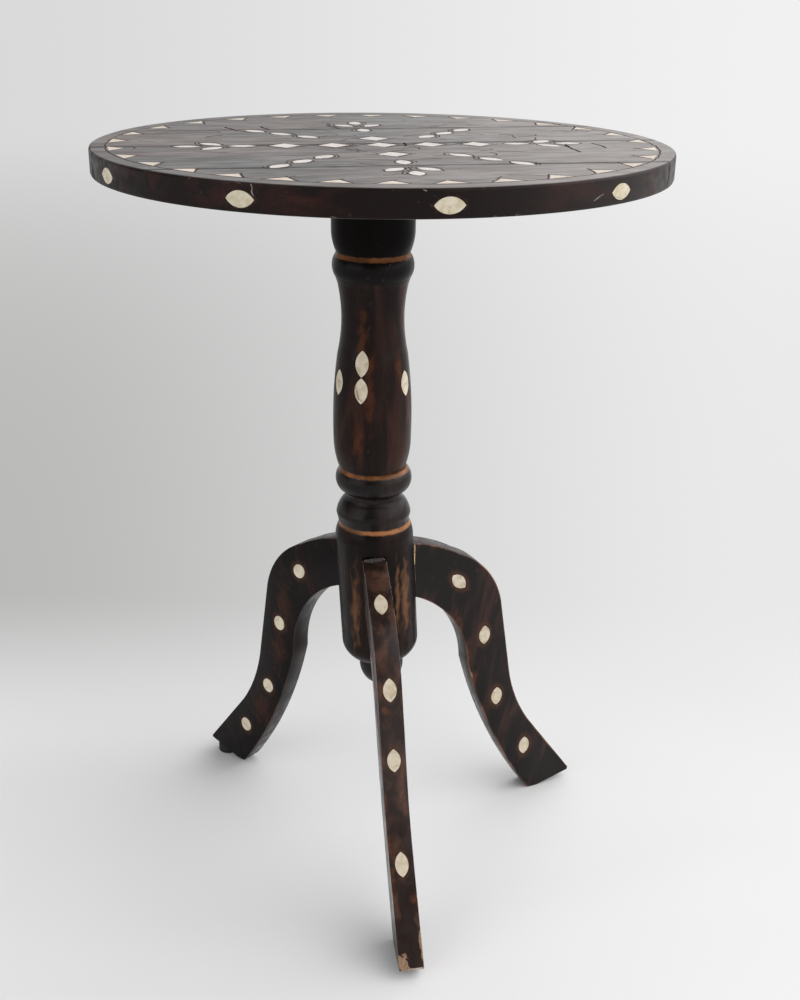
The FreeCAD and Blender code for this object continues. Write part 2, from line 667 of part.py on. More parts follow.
# Round top
# The edges of the rim are eased by two narrow bevels each.
EASE = 0.293  # height of the middle of an eased edge, as a share of rim_round
top_radius = size("top_radius")
top_thickness = size("top_thickness")
rim_round = size("rim_round")
rim_ease = rim_round * EASE
top_body = turned("top_body", [
    (ZERO, ZERO),
    (top_radius - rim_round, ZERO),
    (top_radius - rim_ease, rim_ease),
    (top_radius, rim_round),
    (top_radius, top_thickness - rim_round),
    (top_radius - rim_ease, top_thickness - rim_ease),
    (top_radius - rim_round, top_thickness),
    (ZERO, top_thickness),
])
bind(top_body, Placement__Base__z=top_height)
doc.recompute()


def drawn_size(alias):
    """A length on the face of the top. It is drawn for a radius of 210 and follows the top's own."""
    text = "%s * %s / 210" % (size(alias).text, top_radius.text)
    return Size(text, number(alias) * top_radius.value / 210)


def drawn(alias):
    return drawn_size(alias).value


star = FreeCAD.Placement(V(drawn("pattern_x"), drawn("pattern_y"), surface_height.value),
                         FreeCAD.Rotation(UP, number("pattern_turn")))


def star_frame(reach, across, arm, swing=0.0):
    """A piece on an arm of the star: out along the arm, across it, and turned from it by swing."""
    turn = FreeCAD.Rotation(UP, arm)
    point = star.multVec(turn.multVec(V(reach, across, 0)))
    along = star.Rotation.multVec(turn.multVec(turned_about(swing)))
    return seat_frame(point, UP, along)


RIGHT_ARM, BACK_ARM, LEFT_ARM, FRONT_ARM = 0, 90, 180, 270

diamonds = Inlay("inlay_diamonds", diamond, drawn("diamond_length"), drawn("diamond_width"))
diamonds.frames.append(star_frame(0.0, 0.0, RIGHT_ARM))
for arm in (RIGHT_ARM, LEFT_ARM):
    for step in (1, 2):
        diamonds.frames.append(star_frame(step * drawn("diamond_pitch"), 0.0, arm))
for arm, reach in ((BACK_ARM, "back_arm_reach"), (FRONT_ARM, "front_arm_reach")):
    diamonds.frames.append(star_frame(drawn(reach), 0.0, arm, BACK_ARM))

petals = Inlay("inlay_petals", pointed_oval, drawn("petal_length"), drawn("petal_width"))
heart = drawn("sprig_reach")
for arm, inner_gap in ((RIGHT_ARM, "sprig_inner_gap"), (LEFT_ARM, "sprig_inner_gap"),
                       (BACK_ARM, "sprig_stem_gap"), (FRONT_ARM, "sprig_stem_gap")):
    petals.frames.append(star_frame(heart - drawn(inner_gap), 0.0, arm))
    petals.frames.append(star_frame(heart + drawn("sprig_outer_gap"), 0.0, arm))
    for swing in (number("sprig_splay"), -number("sprig_splay")):
        side = turned_about(swing) * drawn("sprig_side_gap")
        petals.frames.append(star_frame(heart + side.x, side.y, arm, swing))

diagonals = Inlay("inlay_diagonals", pointed_oval, drawn("top_lens_length"), drawn("top_lens_width"))
for corner in ("right_back", "left_back", "left_front", "right_front"):
    for step in range(int(number("diagonal_count"))):
        reach = drawn(corner + "_first") + step * drawn("diagonal_pitch")
        diagonals.frames.append(star_frame(reach, 0.0, number(corner + "_angle")))

border = Inlay("inlay_border_triangles", triangle, drawn("triangle_base"), drawn("triangle_height"))
border_count = int(number("border_count"))
border_centre = V(0, drawn("border_y"), surface_height.value)
border_reach = drawn("border_radius") - drawn("triangle_height") / 2
border_depth = border_reach - drawn("border_squeeze")
for step in range(border_count):
    turn = 360.0 * step / border_count
    push = number("border_crowding") * math.sin(math.radians(turn))
    pinch = number("border_pinching") * math.sin(math.radians(2 * turn))
    outward = turned_about(number("border_angle") + turn - push - pinch)
    middle = border_centre + V(outward.x * border_reach, outward.y * border_depth, 0)
    border.frames.append(seat_frame(middle, UP, UP.cross(outward)))

rim = Inlay("inlay_rim", pointed_oval, number("rim_lens_length"), number("rim_lens_width"))
rim_count = int(number("rim_lens_count"))
rim_level = top_height.value + number("top_thickness") / 2 - number("rim_lens_drop")
for step in range(rim_count):
    turn = 360.0 * step / rim_count
    push = number("rim_lens_crowding") * math.sin(math.radians(turn))
    outward = turned_about(number("rim_lens_angle") + turn - push)
    point = outward * number("top_radius") + UP * rim_level
    rim.frames.append(seat_frame(point, outward, UP.cross(outward)))

top_inlays = (diamonds, petals, diagonals, border, rim)
top_bones = [bone(inlay.name, top_body, [inlay]) for inlay in top_inlays]
top_pocketed = inlaid("top_pocketed", top_body, top_inlays)
top_socket = bore("top_socket", size("cap_tenon_radius"), size("cap_tenon_length"), upright(top_height))
top_board = cut("top_board", top_pocketed, top_socket)

PLANKS = [("top_plank_front", None, "seam_front"), ("top_plank_mid_front", "seam_front", "seam_middle"),
          ("top_plank_mid_back", "seam_middle", "seam_back"), ("top_plank_back", "seam_back", None)]


def plank(name, low, high):
    """The strip of the top between two glue lines. The outer planks run to the rim."""
    strip = doc.addObject("Part::Box", name + "_strip")
    reach = size("top_radius")
    start = drawn_size(low) if low else ZERO - reach
    end = drawn_size(high) if high else reach
    bind(strip, Length=reach * 2, Width=end - start, Height=size("top_thickness"))
    turn = FreeCAD.Rotation(UP, number("seam_turn"))
    corner = turn.multVec(V(-reach.value, start.value, 0))
    strip.Placement = FreeCAD.Placement(corner + UP * top_height.value, turn)
    return common(name, top_board, strip)


planks = [plank(*row) for row in PLANKS]

# Inlay of the vase
vase_lenses = Inlay("inlay_column", pointed_oval,
                    number("column_lens_length"), number("column_lens_width"))


def vase_frame(angle, height):
    """A lens that stands upright on the vase, where a level line leaves the wood."""
    outward = turned_about(angle)
    middle = V(column_x.value, 0, vase_height.value + height)
    level = Part.makeLine(middle, middle + outward * number("vase_belly_radius") * 2)
    inside = level.common(vase_body.Shape)
    return seat_frame(middle + outward * inside.Length, outward, UP)


column_count = int(number("column_lens_count"))
for step in range(column_count):
    turn = 360.0 * step / column_count
    pair_angle = number("column_pair_angle") + turn
    pair_low = number("column_pair_low")
    vase_lenses.frames.append(vase_frame(pair_angle, pair_low))
    vase_lenses.frames.append(vase_frame(pair_angle, pair_low + number("column_pair_pitch")))
    single_angle = number("column_single_angle") + turn
    vase_lenses.frames.append(vase_frame(single_angle, number("column_single_height")))
inlay_column = bone("inlay_column", vase_body, [vase_lenses])
column_vase = inlaid("column_vase", vase_body, [vase_lenses])

# Inlay of the legs
LENS_STEP = 2.0  # either side of a lens, where the slope of the edge is taken


def crossing(board, height):
    """Where a level line in the leg's middle plane enters and leaves the wood, along the leg's X."""
    reach = 2 * leg_toe_reach.value
    level = Part.makeLine(V(0, 0, height), V(reach, 0, height)).common(board)
    return level.BoundBox.XMin, level.BoundBox.XMax


def edge_ovals(side, board):
    """Pointed ovals down the outer edge of a leg."""
    ovals = Inlay("edge", pointed_oval, number("lens_length"), number("lens_width"))
    for step in (1, 2, 3, 4):
        height = leg_top_height.value - number("%s_lens_%d_drop" % (side, step))
        upper = V(crossing(board, height + LENS_STEP)[1], 0, height + LENS_STEP)
        lower = V(crossing(board, height - LENS_STEP)[1], 0, height - LENS_STEP)
        along = (upper - lower).normalize()
        outward = V(0, 1, 0).cross(along)
        point = V(crossing(board, height)[1], 0, height)
        ovals.frames.append(leg_frame(side).multiply(seat_frame(point, outward, along)))
    return ovals


def side_ovals(side, board):
    """Ovals down both flat sides of a leg: pointed on the right leg, round on the left."""
    ovals = Inlay("side", pointed_oval, number("side_lens_length"), number("side_lens_width"))
    if side == "left":
        ovals = Inlay("side", pebble, number("pebble_length"), number("pebble_width"))
    for step in (1, 2, 3, 4):
        height = leg_top_height.value - number("%s_lens_%d_drop" % (side, step))
        lead = number("side_lens_lead") if step == 1 else 0.0
        tilt = math.radians(number("side_lens_tilt")) if step == 1 else 0.0
        along = V(-math.sin(tilt), 0, math.cos(tilt))
        middle = sum(crossing(board, height)) / 2 + lead
        for face in (-1, 1):
            point = V(middle, face * number("leg_thickness") / 2, height)
            ovals.frames.append(leg_frame(side).multiply(seat_frame(point, V(0, face, 0), along)))
    return ovals


def leg_inlay(side):
    """The front leg has its ovals on the edge, and the others on their flat sides."""
    board = boards[side].Shape.transformed(leg_frame(side).inverse().toMatrix())
    return edge_ovals(side, board) if side == "front" else side_ovals(side, board)


legs = []
leg_bones = []
for side in LEGS:
    lenses = [leg_inlay(side)]
    leg_bones.append(bone("inlay_leg_" + side, boards[side], lenses))
    holes = feature(side + "_leg_holes", Part.makeCompound(dowel_holes(side)))
    leg_bored = cut(side + "_leg_bored", boards[side], holes)
    legs.append(inlaid("leg_" + side, leg_bored, lenses))

# Checks and files
doc.recompute()
sub_parts = planks + [column_cap, column_vase, column_reel, column_drum, drop_knob]
sub_parts += legs + [leg_dowels, foot_pad] + top_bones + [inlay_column] + leg_bones
for made in doc.Objects:
    if "Invalid" in made.State or "Error" in made.State:
        raise RuntimeError("%s failed: %s" % (made.Label, made.State))
for made in sub_parts:
    if made.Shape.isNull() or not made.Shape.isValid() or not made.Shape.Solids:
        raise RuntimeError("%s has no valid solid" % made.Label)

os.makedirs("parts", exist_ok=True)
for made in sub_parts:
    made.Shape.exportStep("parts/%s.step" % made.Label)
    print("%-24s %3d solids %12.1f mm3" % (made.Label, len(made.Shape.Solids), made.Shape.Volume))
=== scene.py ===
"""Looks of the inlaid side table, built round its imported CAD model.

The frame gives the turned column, the dowels and the bone. The planks of the top, the legs and the
foot pad get meshes of their own, with scored lines, nicks, eased edges and chips.
Metres, in the frame's own axes: +Z up, the front leg towards -Y.
"""

from __future__ import annotations

import json
import logging
import math
import random
from dataclasses import dataclass, field, replace
from enum import Enum
from typing import Callable, Sequence, Union

import bmesh
import bpy
import numpy as np
from mathutils import Euler, Matrix, Vector

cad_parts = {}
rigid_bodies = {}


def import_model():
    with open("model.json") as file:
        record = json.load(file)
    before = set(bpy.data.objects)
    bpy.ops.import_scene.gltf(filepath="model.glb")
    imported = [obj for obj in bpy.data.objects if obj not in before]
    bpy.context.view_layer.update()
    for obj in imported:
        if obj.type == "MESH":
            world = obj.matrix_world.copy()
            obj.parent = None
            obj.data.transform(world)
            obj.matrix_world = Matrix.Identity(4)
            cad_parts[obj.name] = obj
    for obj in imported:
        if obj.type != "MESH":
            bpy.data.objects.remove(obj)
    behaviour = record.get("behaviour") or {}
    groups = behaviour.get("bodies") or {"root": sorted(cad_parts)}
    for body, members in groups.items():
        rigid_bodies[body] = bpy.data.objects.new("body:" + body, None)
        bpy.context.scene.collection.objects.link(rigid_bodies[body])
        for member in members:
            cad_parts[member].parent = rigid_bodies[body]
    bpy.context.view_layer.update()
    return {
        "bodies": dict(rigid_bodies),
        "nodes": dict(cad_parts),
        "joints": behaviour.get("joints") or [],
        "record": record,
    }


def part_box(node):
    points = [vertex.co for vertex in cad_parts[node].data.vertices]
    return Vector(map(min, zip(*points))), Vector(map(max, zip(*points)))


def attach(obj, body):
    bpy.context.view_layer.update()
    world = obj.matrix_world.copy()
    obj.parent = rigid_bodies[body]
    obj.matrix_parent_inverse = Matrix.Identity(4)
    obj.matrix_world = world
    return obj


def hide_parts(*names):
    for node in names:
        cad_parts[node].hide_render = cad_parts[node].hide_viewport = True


log = logging.getLogger("side_table")

MM = 0.001
BODY = "root"

Colour = tuple[float, float, float, float]
Triple = tuple[float, float, float]
Piece = bpy.types.Object
Nodes = dict[str, Piece]
Material = bpy.types.Material
Socket = bpy.types.NodeSocket
Stroke = list[Vector]
Value = Union[float, Colour, Vector, Triple, Socket]

# Limits for joining corners, flattening faces and telling a turn from a straight line
WELD = 0.002 * MM
FLAT_ANGLE = 0.4
SAME_POINT = 1e-7
CORNER_TURN = 1e-12
ROUND_TO = 6

# Sockets of the node that mixes two colours
MIX_SHARE, MIX_BELOW, MIX_ABOVE, MIX_COLOUR = 0, 6, 7, 2


class Slot(Enum):
    """Names of material slots for the new pieces, handed to keep, which does not use them."""

    TOP = "top_wood"
    COLUMN = "column_wood"
    LEG = "leg_wood"
    RAW = "dowel_wood"
    PAD = "pad"


class Grain(Enum):
    """Turn that brings the X axis of a grain pattern along the wood, as Euler degrees."""

    UPRIGHT = (0.0, -90.0, 0.0)
    ACROSS = (0.0, 0.0, 10.8)
    ALONG_X = (0.0, 0.0, 0.0)


def tone(red: int, green: int, blue: int) -> Colour:
    """Linear colour of a screen colour.

    Args:
        red: 0 to 255.
        green: 0 to 255.
        blue: 0 to 255.

    Returns:
        The colour for a shader socket, with full alpha.
    """
    parts = [channel / 255.0 for channel in (red, green, blue)]
    linear = [p / 12.92 if p <= 0.04045 else ((p + 0.055) / 1.055) ** 2.4 for p in parts]
    return (linear[0], linear[1], linear[2], 1.0)


def polar(radius: float, degrees: float, height: float) -> Vector:
    """Point at a radius, angle and height round the axis of the top."""
    angle = math.radians(degrees)
    return Vector((radius * math.cos(angle), radius * math.sin(angle), height))


# Meshes


def select_only(piece: Piece) -> None:
    """Makes one piece the active and only selected object.

    Args:
        piece: The piece.
    """
    bpy.ops.object.select_all(action="DESELECT")
    piece.select_set(True)
    bpy.context.view_layer.objects.active = piece


def linked(name: str, data: bpy.types.ID) -> Piece:
    """A new object in the scene.

    Args:
        name: Its name.
        data: Its mesh, curve, lamp or camera.

    Returns:
        The object.
    """
    piece = bpy.data.objects.new(name, data)
    bpy.context.scene.collection.objects.link(piece)
    return piece


def fresh(add: Callable[..., set[str]], **settings: object) -> Piece:
    """A new primitive, with nothing else selected.

    Args:
        add: The operator that adds it.
        settings: Its size and place.

    Returns:
        The primitive, selected and active.
    """
    bpy.ops.object.select_all(action="DESELECT")
    add(**settings)
    return bpy.context.view_layer.objects.active


def join(pieces: Sequence[Piece]) -> Piece:
    """Joins some pieces into the first of them.

    Args:
        pieces: The pieces.

    Returns:
        The first piece.
    """
    select_only(pieces[0])
    for piece in pieces:
        piece.select_set(True)
    bpy.ops.object.join()
    return pieces[0]


def settle(piece: Piece, modifier: bpy.types.Modifier) -> None:
    """Applies a modifier of a piece."""
    select_only(piece)
    bpy.ops.object.modifier_apply(modifier=modifier.name)


def copy_of(node: Piece, name: str) -> Piece:
    """A closed copy of a CAD node, its flat faces joined, ready for shaping.

    Args:
        node: The frame's node.
        name: Name of the copy.

    Returns:
        The copy, linked, selected and active.
    """
    piece = linked(name, node.data.copy())
    piece.data.materials.clear()
    select_only(piece)
    bpy.ops.mesh.customdata_custom_splitnormals_clear()
    bpy.ops.object.mode_set(mode="EDIT")
    bpy.ops.mesh.select_all(action="SELECT")
    bpy.ops.mesh.remove_doubles(threshold=WELD)
    bpy.ops.mesh.dissolve_limited(angle_limit=math.radians(FLAT_ANGLE), use_dissolve_boundaries=False)
    bpy.ops.mesh.select_all(action="DESELECT")
    bpy.ops.object.mode_set(mode="OBJECT")
    return piece


def cut_with(piece: Piece, tool: Piece) -> None:
    """Cuts a tool out of a piece. The cut faces keep the tool's finish, and the tool goes.

    Args:
        piece: What is cut.
        tool: What cuts it.
    """
    cut = piece.modifiers.new("cut", "BOOLEAN")
    cut.operation = "DIFFERENCE"
    cut.solver = "EXACT"
    cut.use_self = True
    cut.material_mode = "TRANSFER"
    cut.object = tool
    settle(piece, cut)
    bpy.data.objects.remove(tool)


def smooth(piece: Piece, degrees: float) -> None:
    """Shades a piece smooth, with creases sharper than an angle kept."""
    select_only(piece)
    bpy.ops.object.shade_smooth_by_angle(angle=math.radians(degrees))


def dress(piece: Piece, *materials: Material) -> None:
    """Gives a piece its materials, in slot order.

    Args:
        piece: The piece.
        materials: The materials.
    """
    piece.data.materials.clear()
    for material in materials:
        piece.data.materials.append(material)


def keep(piece: Piece, slot: Slot, *nodes: str) -> None:
    """Rides a finished piece on the table, in the place of some nodes.

    Args:
        piece: The piece.
        slot: Its slot in the record; not used.
        nodes: Names of the nodes.
    """
    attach(piece, BODY)
    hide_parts(*nodes)
    log.info("%s: %d faces", piece.name, len(piece.data.polygons))


@dataclass(frozen=True)
class Spot:
    """An oval place on the wood: a frame, and its half sizes along the frame's axes."""

    centre: Vector
    along: Vector
    across: Vector
    outward: Vector
    half_sizes: Triple

    @classmethod
    def round_points(cls, points: Sequence[Vector], depth: float) -> "Spot":
        """The spot that an inlaid piece fills.

        Args:
            points: Corners of the piece.
            depth: Half size to use across the surface.

        Returns:
            The spot, longest along its first axis.
        """
        cloud = np.array([tuple(point) for point in points])
        middle = (cloud.max(axis=0) + cloud.min(axis=0)) / 2
        axes = np.linalg.eigh(np.cov((cloud - middle).T))[1].T[::-1]
        outward = Vector(axes[0]).cross(Vector(axes[1]))
        along, across = Vector(axes[0]), Vector(axes[1])
        reach = [np.ptp(cloud @ np.array(axis)) / 2 for axis in (along, across)]
        return cls(Vector(middle), along, across, outward, (reach[0], reach[1], depth))

    def turn(self) -> Euler:
        """Turn of the spot's frame."""
        return Matrix((self.along, self.across, self.outward)).transposed().to_euler()


def islands(node: Piece) -> list[Stroke]:
    """Corners of each separate piece in a node.

    Args:
        node: The frame's node.

    Returns:
        One list of corners for each piece.
    """
    shell = bmesh.new()
    shell.from_mesh(node.data)
    bmesh.ops.remove_doubles(shell, verts=shell.verts[:], dist=WELD)
    shell.verts.index_update()
    met: set[int] = set()
    found = []
    for first in shell.verts:
        if first.index in met:
            continue
        met.add(first.index)
        edge_of = [first]
        piece = []
        while edge_of:
            here = edge_of.pop()
            piece.append(here.co.copy())
            for edge in here.link_edges:
                other = edge.other_vert(here)
                if other.index not in met:
                    met.add(other.index)
                    edge_of.append(other)
        found.append(piece)
    shell.free()
    return found


def hull(points: Sequence[Vector]) -> Stroke:
    """Outline of some points seen from above.

    Args:
        points: The points.

    Returns:
        The corners of the outline, anticlockwise.
    """
    ordered = sorted({(round(p.x, ROUND_TO), round(p.y, ROUND_TO)) for p in points})

    def half(run: Sequence[tuple[float, float]]) -> list[tuple[float, float]]:
        """One half of the outline, turning left at every corner.

        Args:
            run: The points, in order.

        Returns:
            The corners of that half, without the last.
        """
        chain: list[tuple[float, float]] = []
        for x, y in run:
            while len(chain) > 1:
                (ax, ay), (bx, by) = chain[-2:]
                if (bx - ax) * (y - ay) - (by - ay) * (x - ax) > CORNER_TURN:
                    break
                chain.pop()
            chain.append((x, y))
        return chain[:-1]

    return [Vector((x, y, 0.0)) for x, y in half(ordered) + half(ordered[::-1])]


def middle_of(corners: Sequence[Vector]) -> Vector:
    """Mean of some corners."""
    return sum(corners, Vector()) / len(corners)


def is_closed(stroke: Sequence[Vector]) -> bool:
    """Whether a stroke ends where it starts."""
    return (stroke[0] - stroke[-1]).length < SAME_POINT


# Finishes


class NodeBook:
    """Shader nodes of one tree, made and joined by short calls."""

    def __init__(self, tree: bpy.types.NodeTree, space: str) -> None:
        """Opens a tree.

        Args:
            tree: The tree of a material, or of the light of the room.
            space: Name of the coordinates that its patterns follow.
        """
        self.tree = tree
        self.spot = self.add("ShaderNodeTexCoord").outputs[space]

    def add(self, kind: str, **settings: object) -> bpy.types.Node:
        """A new node with some of its settings.

        Args:
            kind: Type of the node.
            settings: Its settings.

        Returns:
            The node.
        """
        node = self.tree.nodes.new(kind)
        for name, value in settings.items():
            setattr(node, name, value)
        return node

    def feed(self, socket: Socket, value: Value) -> None:
        """Joins a socket to another node's output, or sets its plain value.

        Args:
            socket: The socket.
            value: The output, or the plain value.
        """
        if isinstance(value, Socket):
            self.tree.links.new(value, socket)
        else:
            socket.default_value = value

    def inside(self, spot: Spot) -> Socket:
        """Distance from a spot's centre, 1 at its outline.

        Args:
            spot: The spot.

        Returns:
            The distance.
        """
        frame = self.add("ShaderNodeMapping", vector_type="TEXTURE")
        self.feed(frame.inputs["Vector"], self.spot)
        self.feed(frame.inputs["Location"], spot.centre)
        self.feed(frame.inputs["Rotation"], spot.turn())
        self.feed(frame.inputs["Scale"], spot.half_sizes)
        length = self.add("ShaderNodeVectorMath", operation="LENGTH")
        self.feed(length.inputs[0], frame.outputs["Vector"])
        return length.outputs["Value"]

    def nearest(self, spots: Sequence[Spot]) -> Socket:
        """Distance from the nearest of some spots, 1 at its outline.

        Args:
            spots: The spots.

        Returns:
            The distance.
        """
        nearest = self.inside(spots[0])
        for spot in spots[1:]:
            nearest = self.sum("MINIMUM", nearest, self.inside(spot))
        return nearest

    def ragged(self, spots: Sequence[Spot], rough: Socket, rag: float) -> Socket:
        """Distance from the nearest of some spots, 1 at its outline, made uneven by a noise."""
        return self.sum("ADD", self.nearest(spots), self.fade(rough, 0.25, 0.75, -rag, rag))

    def turned(self, degrees: Sequence[float], stretch: Sequence[float]) -> Socket:
        """Coordinates turned to the grain, with each axis scaled.

        Args:
            degrees: Turn of the grain, as Euler degrees.
            stretch: Factors along, across and through the grain.

        Returns:
            The vector for a texture.
        """
        frame = self.add("ShaderNodeMapping", vector_type="TEXTURE")
        self.feed(frame.inputs["Vector"], self.spot)
        self.feed(frame.inputs["Rotation"], Euler([math.radians(d) for d in degrees]))
        self.feed(frame.inputs["Scale"], Vector([1.0 / factor for factor in stretch]))
        return frame.outputs["Vector"]

    def noise(self, where: Value, scale: float, detail: float = 3.0, warp: float = 0.0) -> Socket:
        """Cloudy noise from 0 to 1.

        Args:
            where: Coordinates.
            scale: Clouds to the metre.
            detail: Octaves.
            warp: Distortion.

        Returns:
            The noise.
        """
        clouds = self.add("ShaderNodeTexNoise")
        self.feed(clouds.inputs["Vector"], where)
        for name, value in (("Scale", scale), ("Detail", detail), ("Distortion", warp)):
            self.feed(clouds.inputs[name], value)
        return clouds.outputs["Fac"]

    def cracks(self, where: Value, scale: float) -> Socket:
        """Distance from the lines of a network of cells.

        Args:
            where: Coordinates.
            scale: Cells to the metre.

        Returns:
            The distance.
        """
        cells = self.add("ShaderNodeTexVoronoi", feature="DISTANCE_TO_EDGE")
        self.feed(cells.inputs["Vector"], where)
        self.feed(cells.inputs["Scale"], scale)
        return cells.outputs["Distance"]

    def sum(self, operation: str, first: Value, second: Value) -> Socket:
        """One sum of two numbers, by the name of its operation.

        Args:
            operation: Name of the operation.
            first: The first number.
            second: The second number.

        Returns:
            The result.
        """
        node = self.add("ShaderNodeMath", operation=operation)
        self.feed(node.inputs[0], first)
        self.feed(node.inputs[1], second)
        return node.outputs["Value"]

    def fade(
        self, value: Value, low: float, high: float, start: float = 0.0, end: float = 1.0,
        shape: str = "SMOOTHSTEP",
    ) -> Socket:
        """A step, soft at both ends unless another shape is named.

        Args:
            value: What is measured.
            low: Where the step starts.
            high: Where it ends.
            start: Result at or before low.
            end: Result at or past high.
            shape: Name of the step's shape.

        Returns:
            The number.
        """
        node = self.add("ShaderNodeMapRange", interpolation_type=shape)
        inputs = {"Value": value, "From Min": low, "From Max": high, "To Min": start, "To Max": end}
        for name, number in inputs.items():
            self.feed(node.inputs[name], number)
        return node.outputs["Result"]

    def mix(self, share: Value, below: Value, above: Value) -> Socket:
        """One colour laid over another.

        Args:
            share: How much of the upper colour shows.
            below: The colour below.
            above: The colour above.

        Returns:
            The colour.
        """
        node = self.add("ShaderNodeMix", data_type="RGBA")
        for socket, value in ((MIX_SHARE, share), (MIX_BELOW, below), (MIX_ABOVE, above)):
            self.feed(node.inputs[socket], value)
        return node.outputs[MIX_COLOUR]

    def axis(self, name: str) -> Socket:
        """One of the object's own coordinates, by its letter.

        Args:
            name: Letter of the axis.

        Returns:
            The coordinate.
        """
        parts = self.add("ShaderNodeSeparateXYZ")
        self.feed(parts.inputs["Vector"], self.spot)
        return parts.outputs[name]

    def bumps(self, height: Value, depth: float, strength: float) -> Socket:
        """Normal for a small relief of some depth.

        Args:
            height: Pattern of the relief.
            depth: Its depth.
            strength: How much of it shows.

        Returns:
            The normal.
        """
        node = self.add("ShaderNodeBump")
        self.feed(node.inputs["Height"], height)
        self.feed(node.inputs["Distance"], depth)
        self.feed(node.inputs["Strength"], strength)
        return node.outputs["Normal"]


class MaterialBook(NodeBook):
    """Shader nodes of one material."""

    def __init__(self, name: str) -> None:
        """Starts a material with a principled shader.

        Args:
            name: Name of the material.
        """
        self.material = bpy.data.materials.new(name)
        self.material.use_nodes = True
        self.material.node_tree.nodes.clear()
        super().__init__(self.material.node_tree, "Object")
        self.output = self.add("ShaderNodeOutputMaterial")
        self.shader = self.add("ShaderNodeBsdfPrincipled")
        self.feed(self.output.inputs["Surface"], self.shader.outputs["BSDF"])

    def finish(self, **inputs: Value) -> Material:
        """Feeds the shader.

        Args:
            inputs: Sockets of the shader, with underscores for blanks.

        Returns:
            The finished material.
        """
        for name, value in inputs.items():
            self.feed(self.shader.inputs[name.replace("_", " ")], value)
        return self.material


@dataclass(frozen=True)
class Band:
    """A turned groove where bare wood shows: its height, its half height and how bare it is."""

    height: float
    half: float
    bareness: float


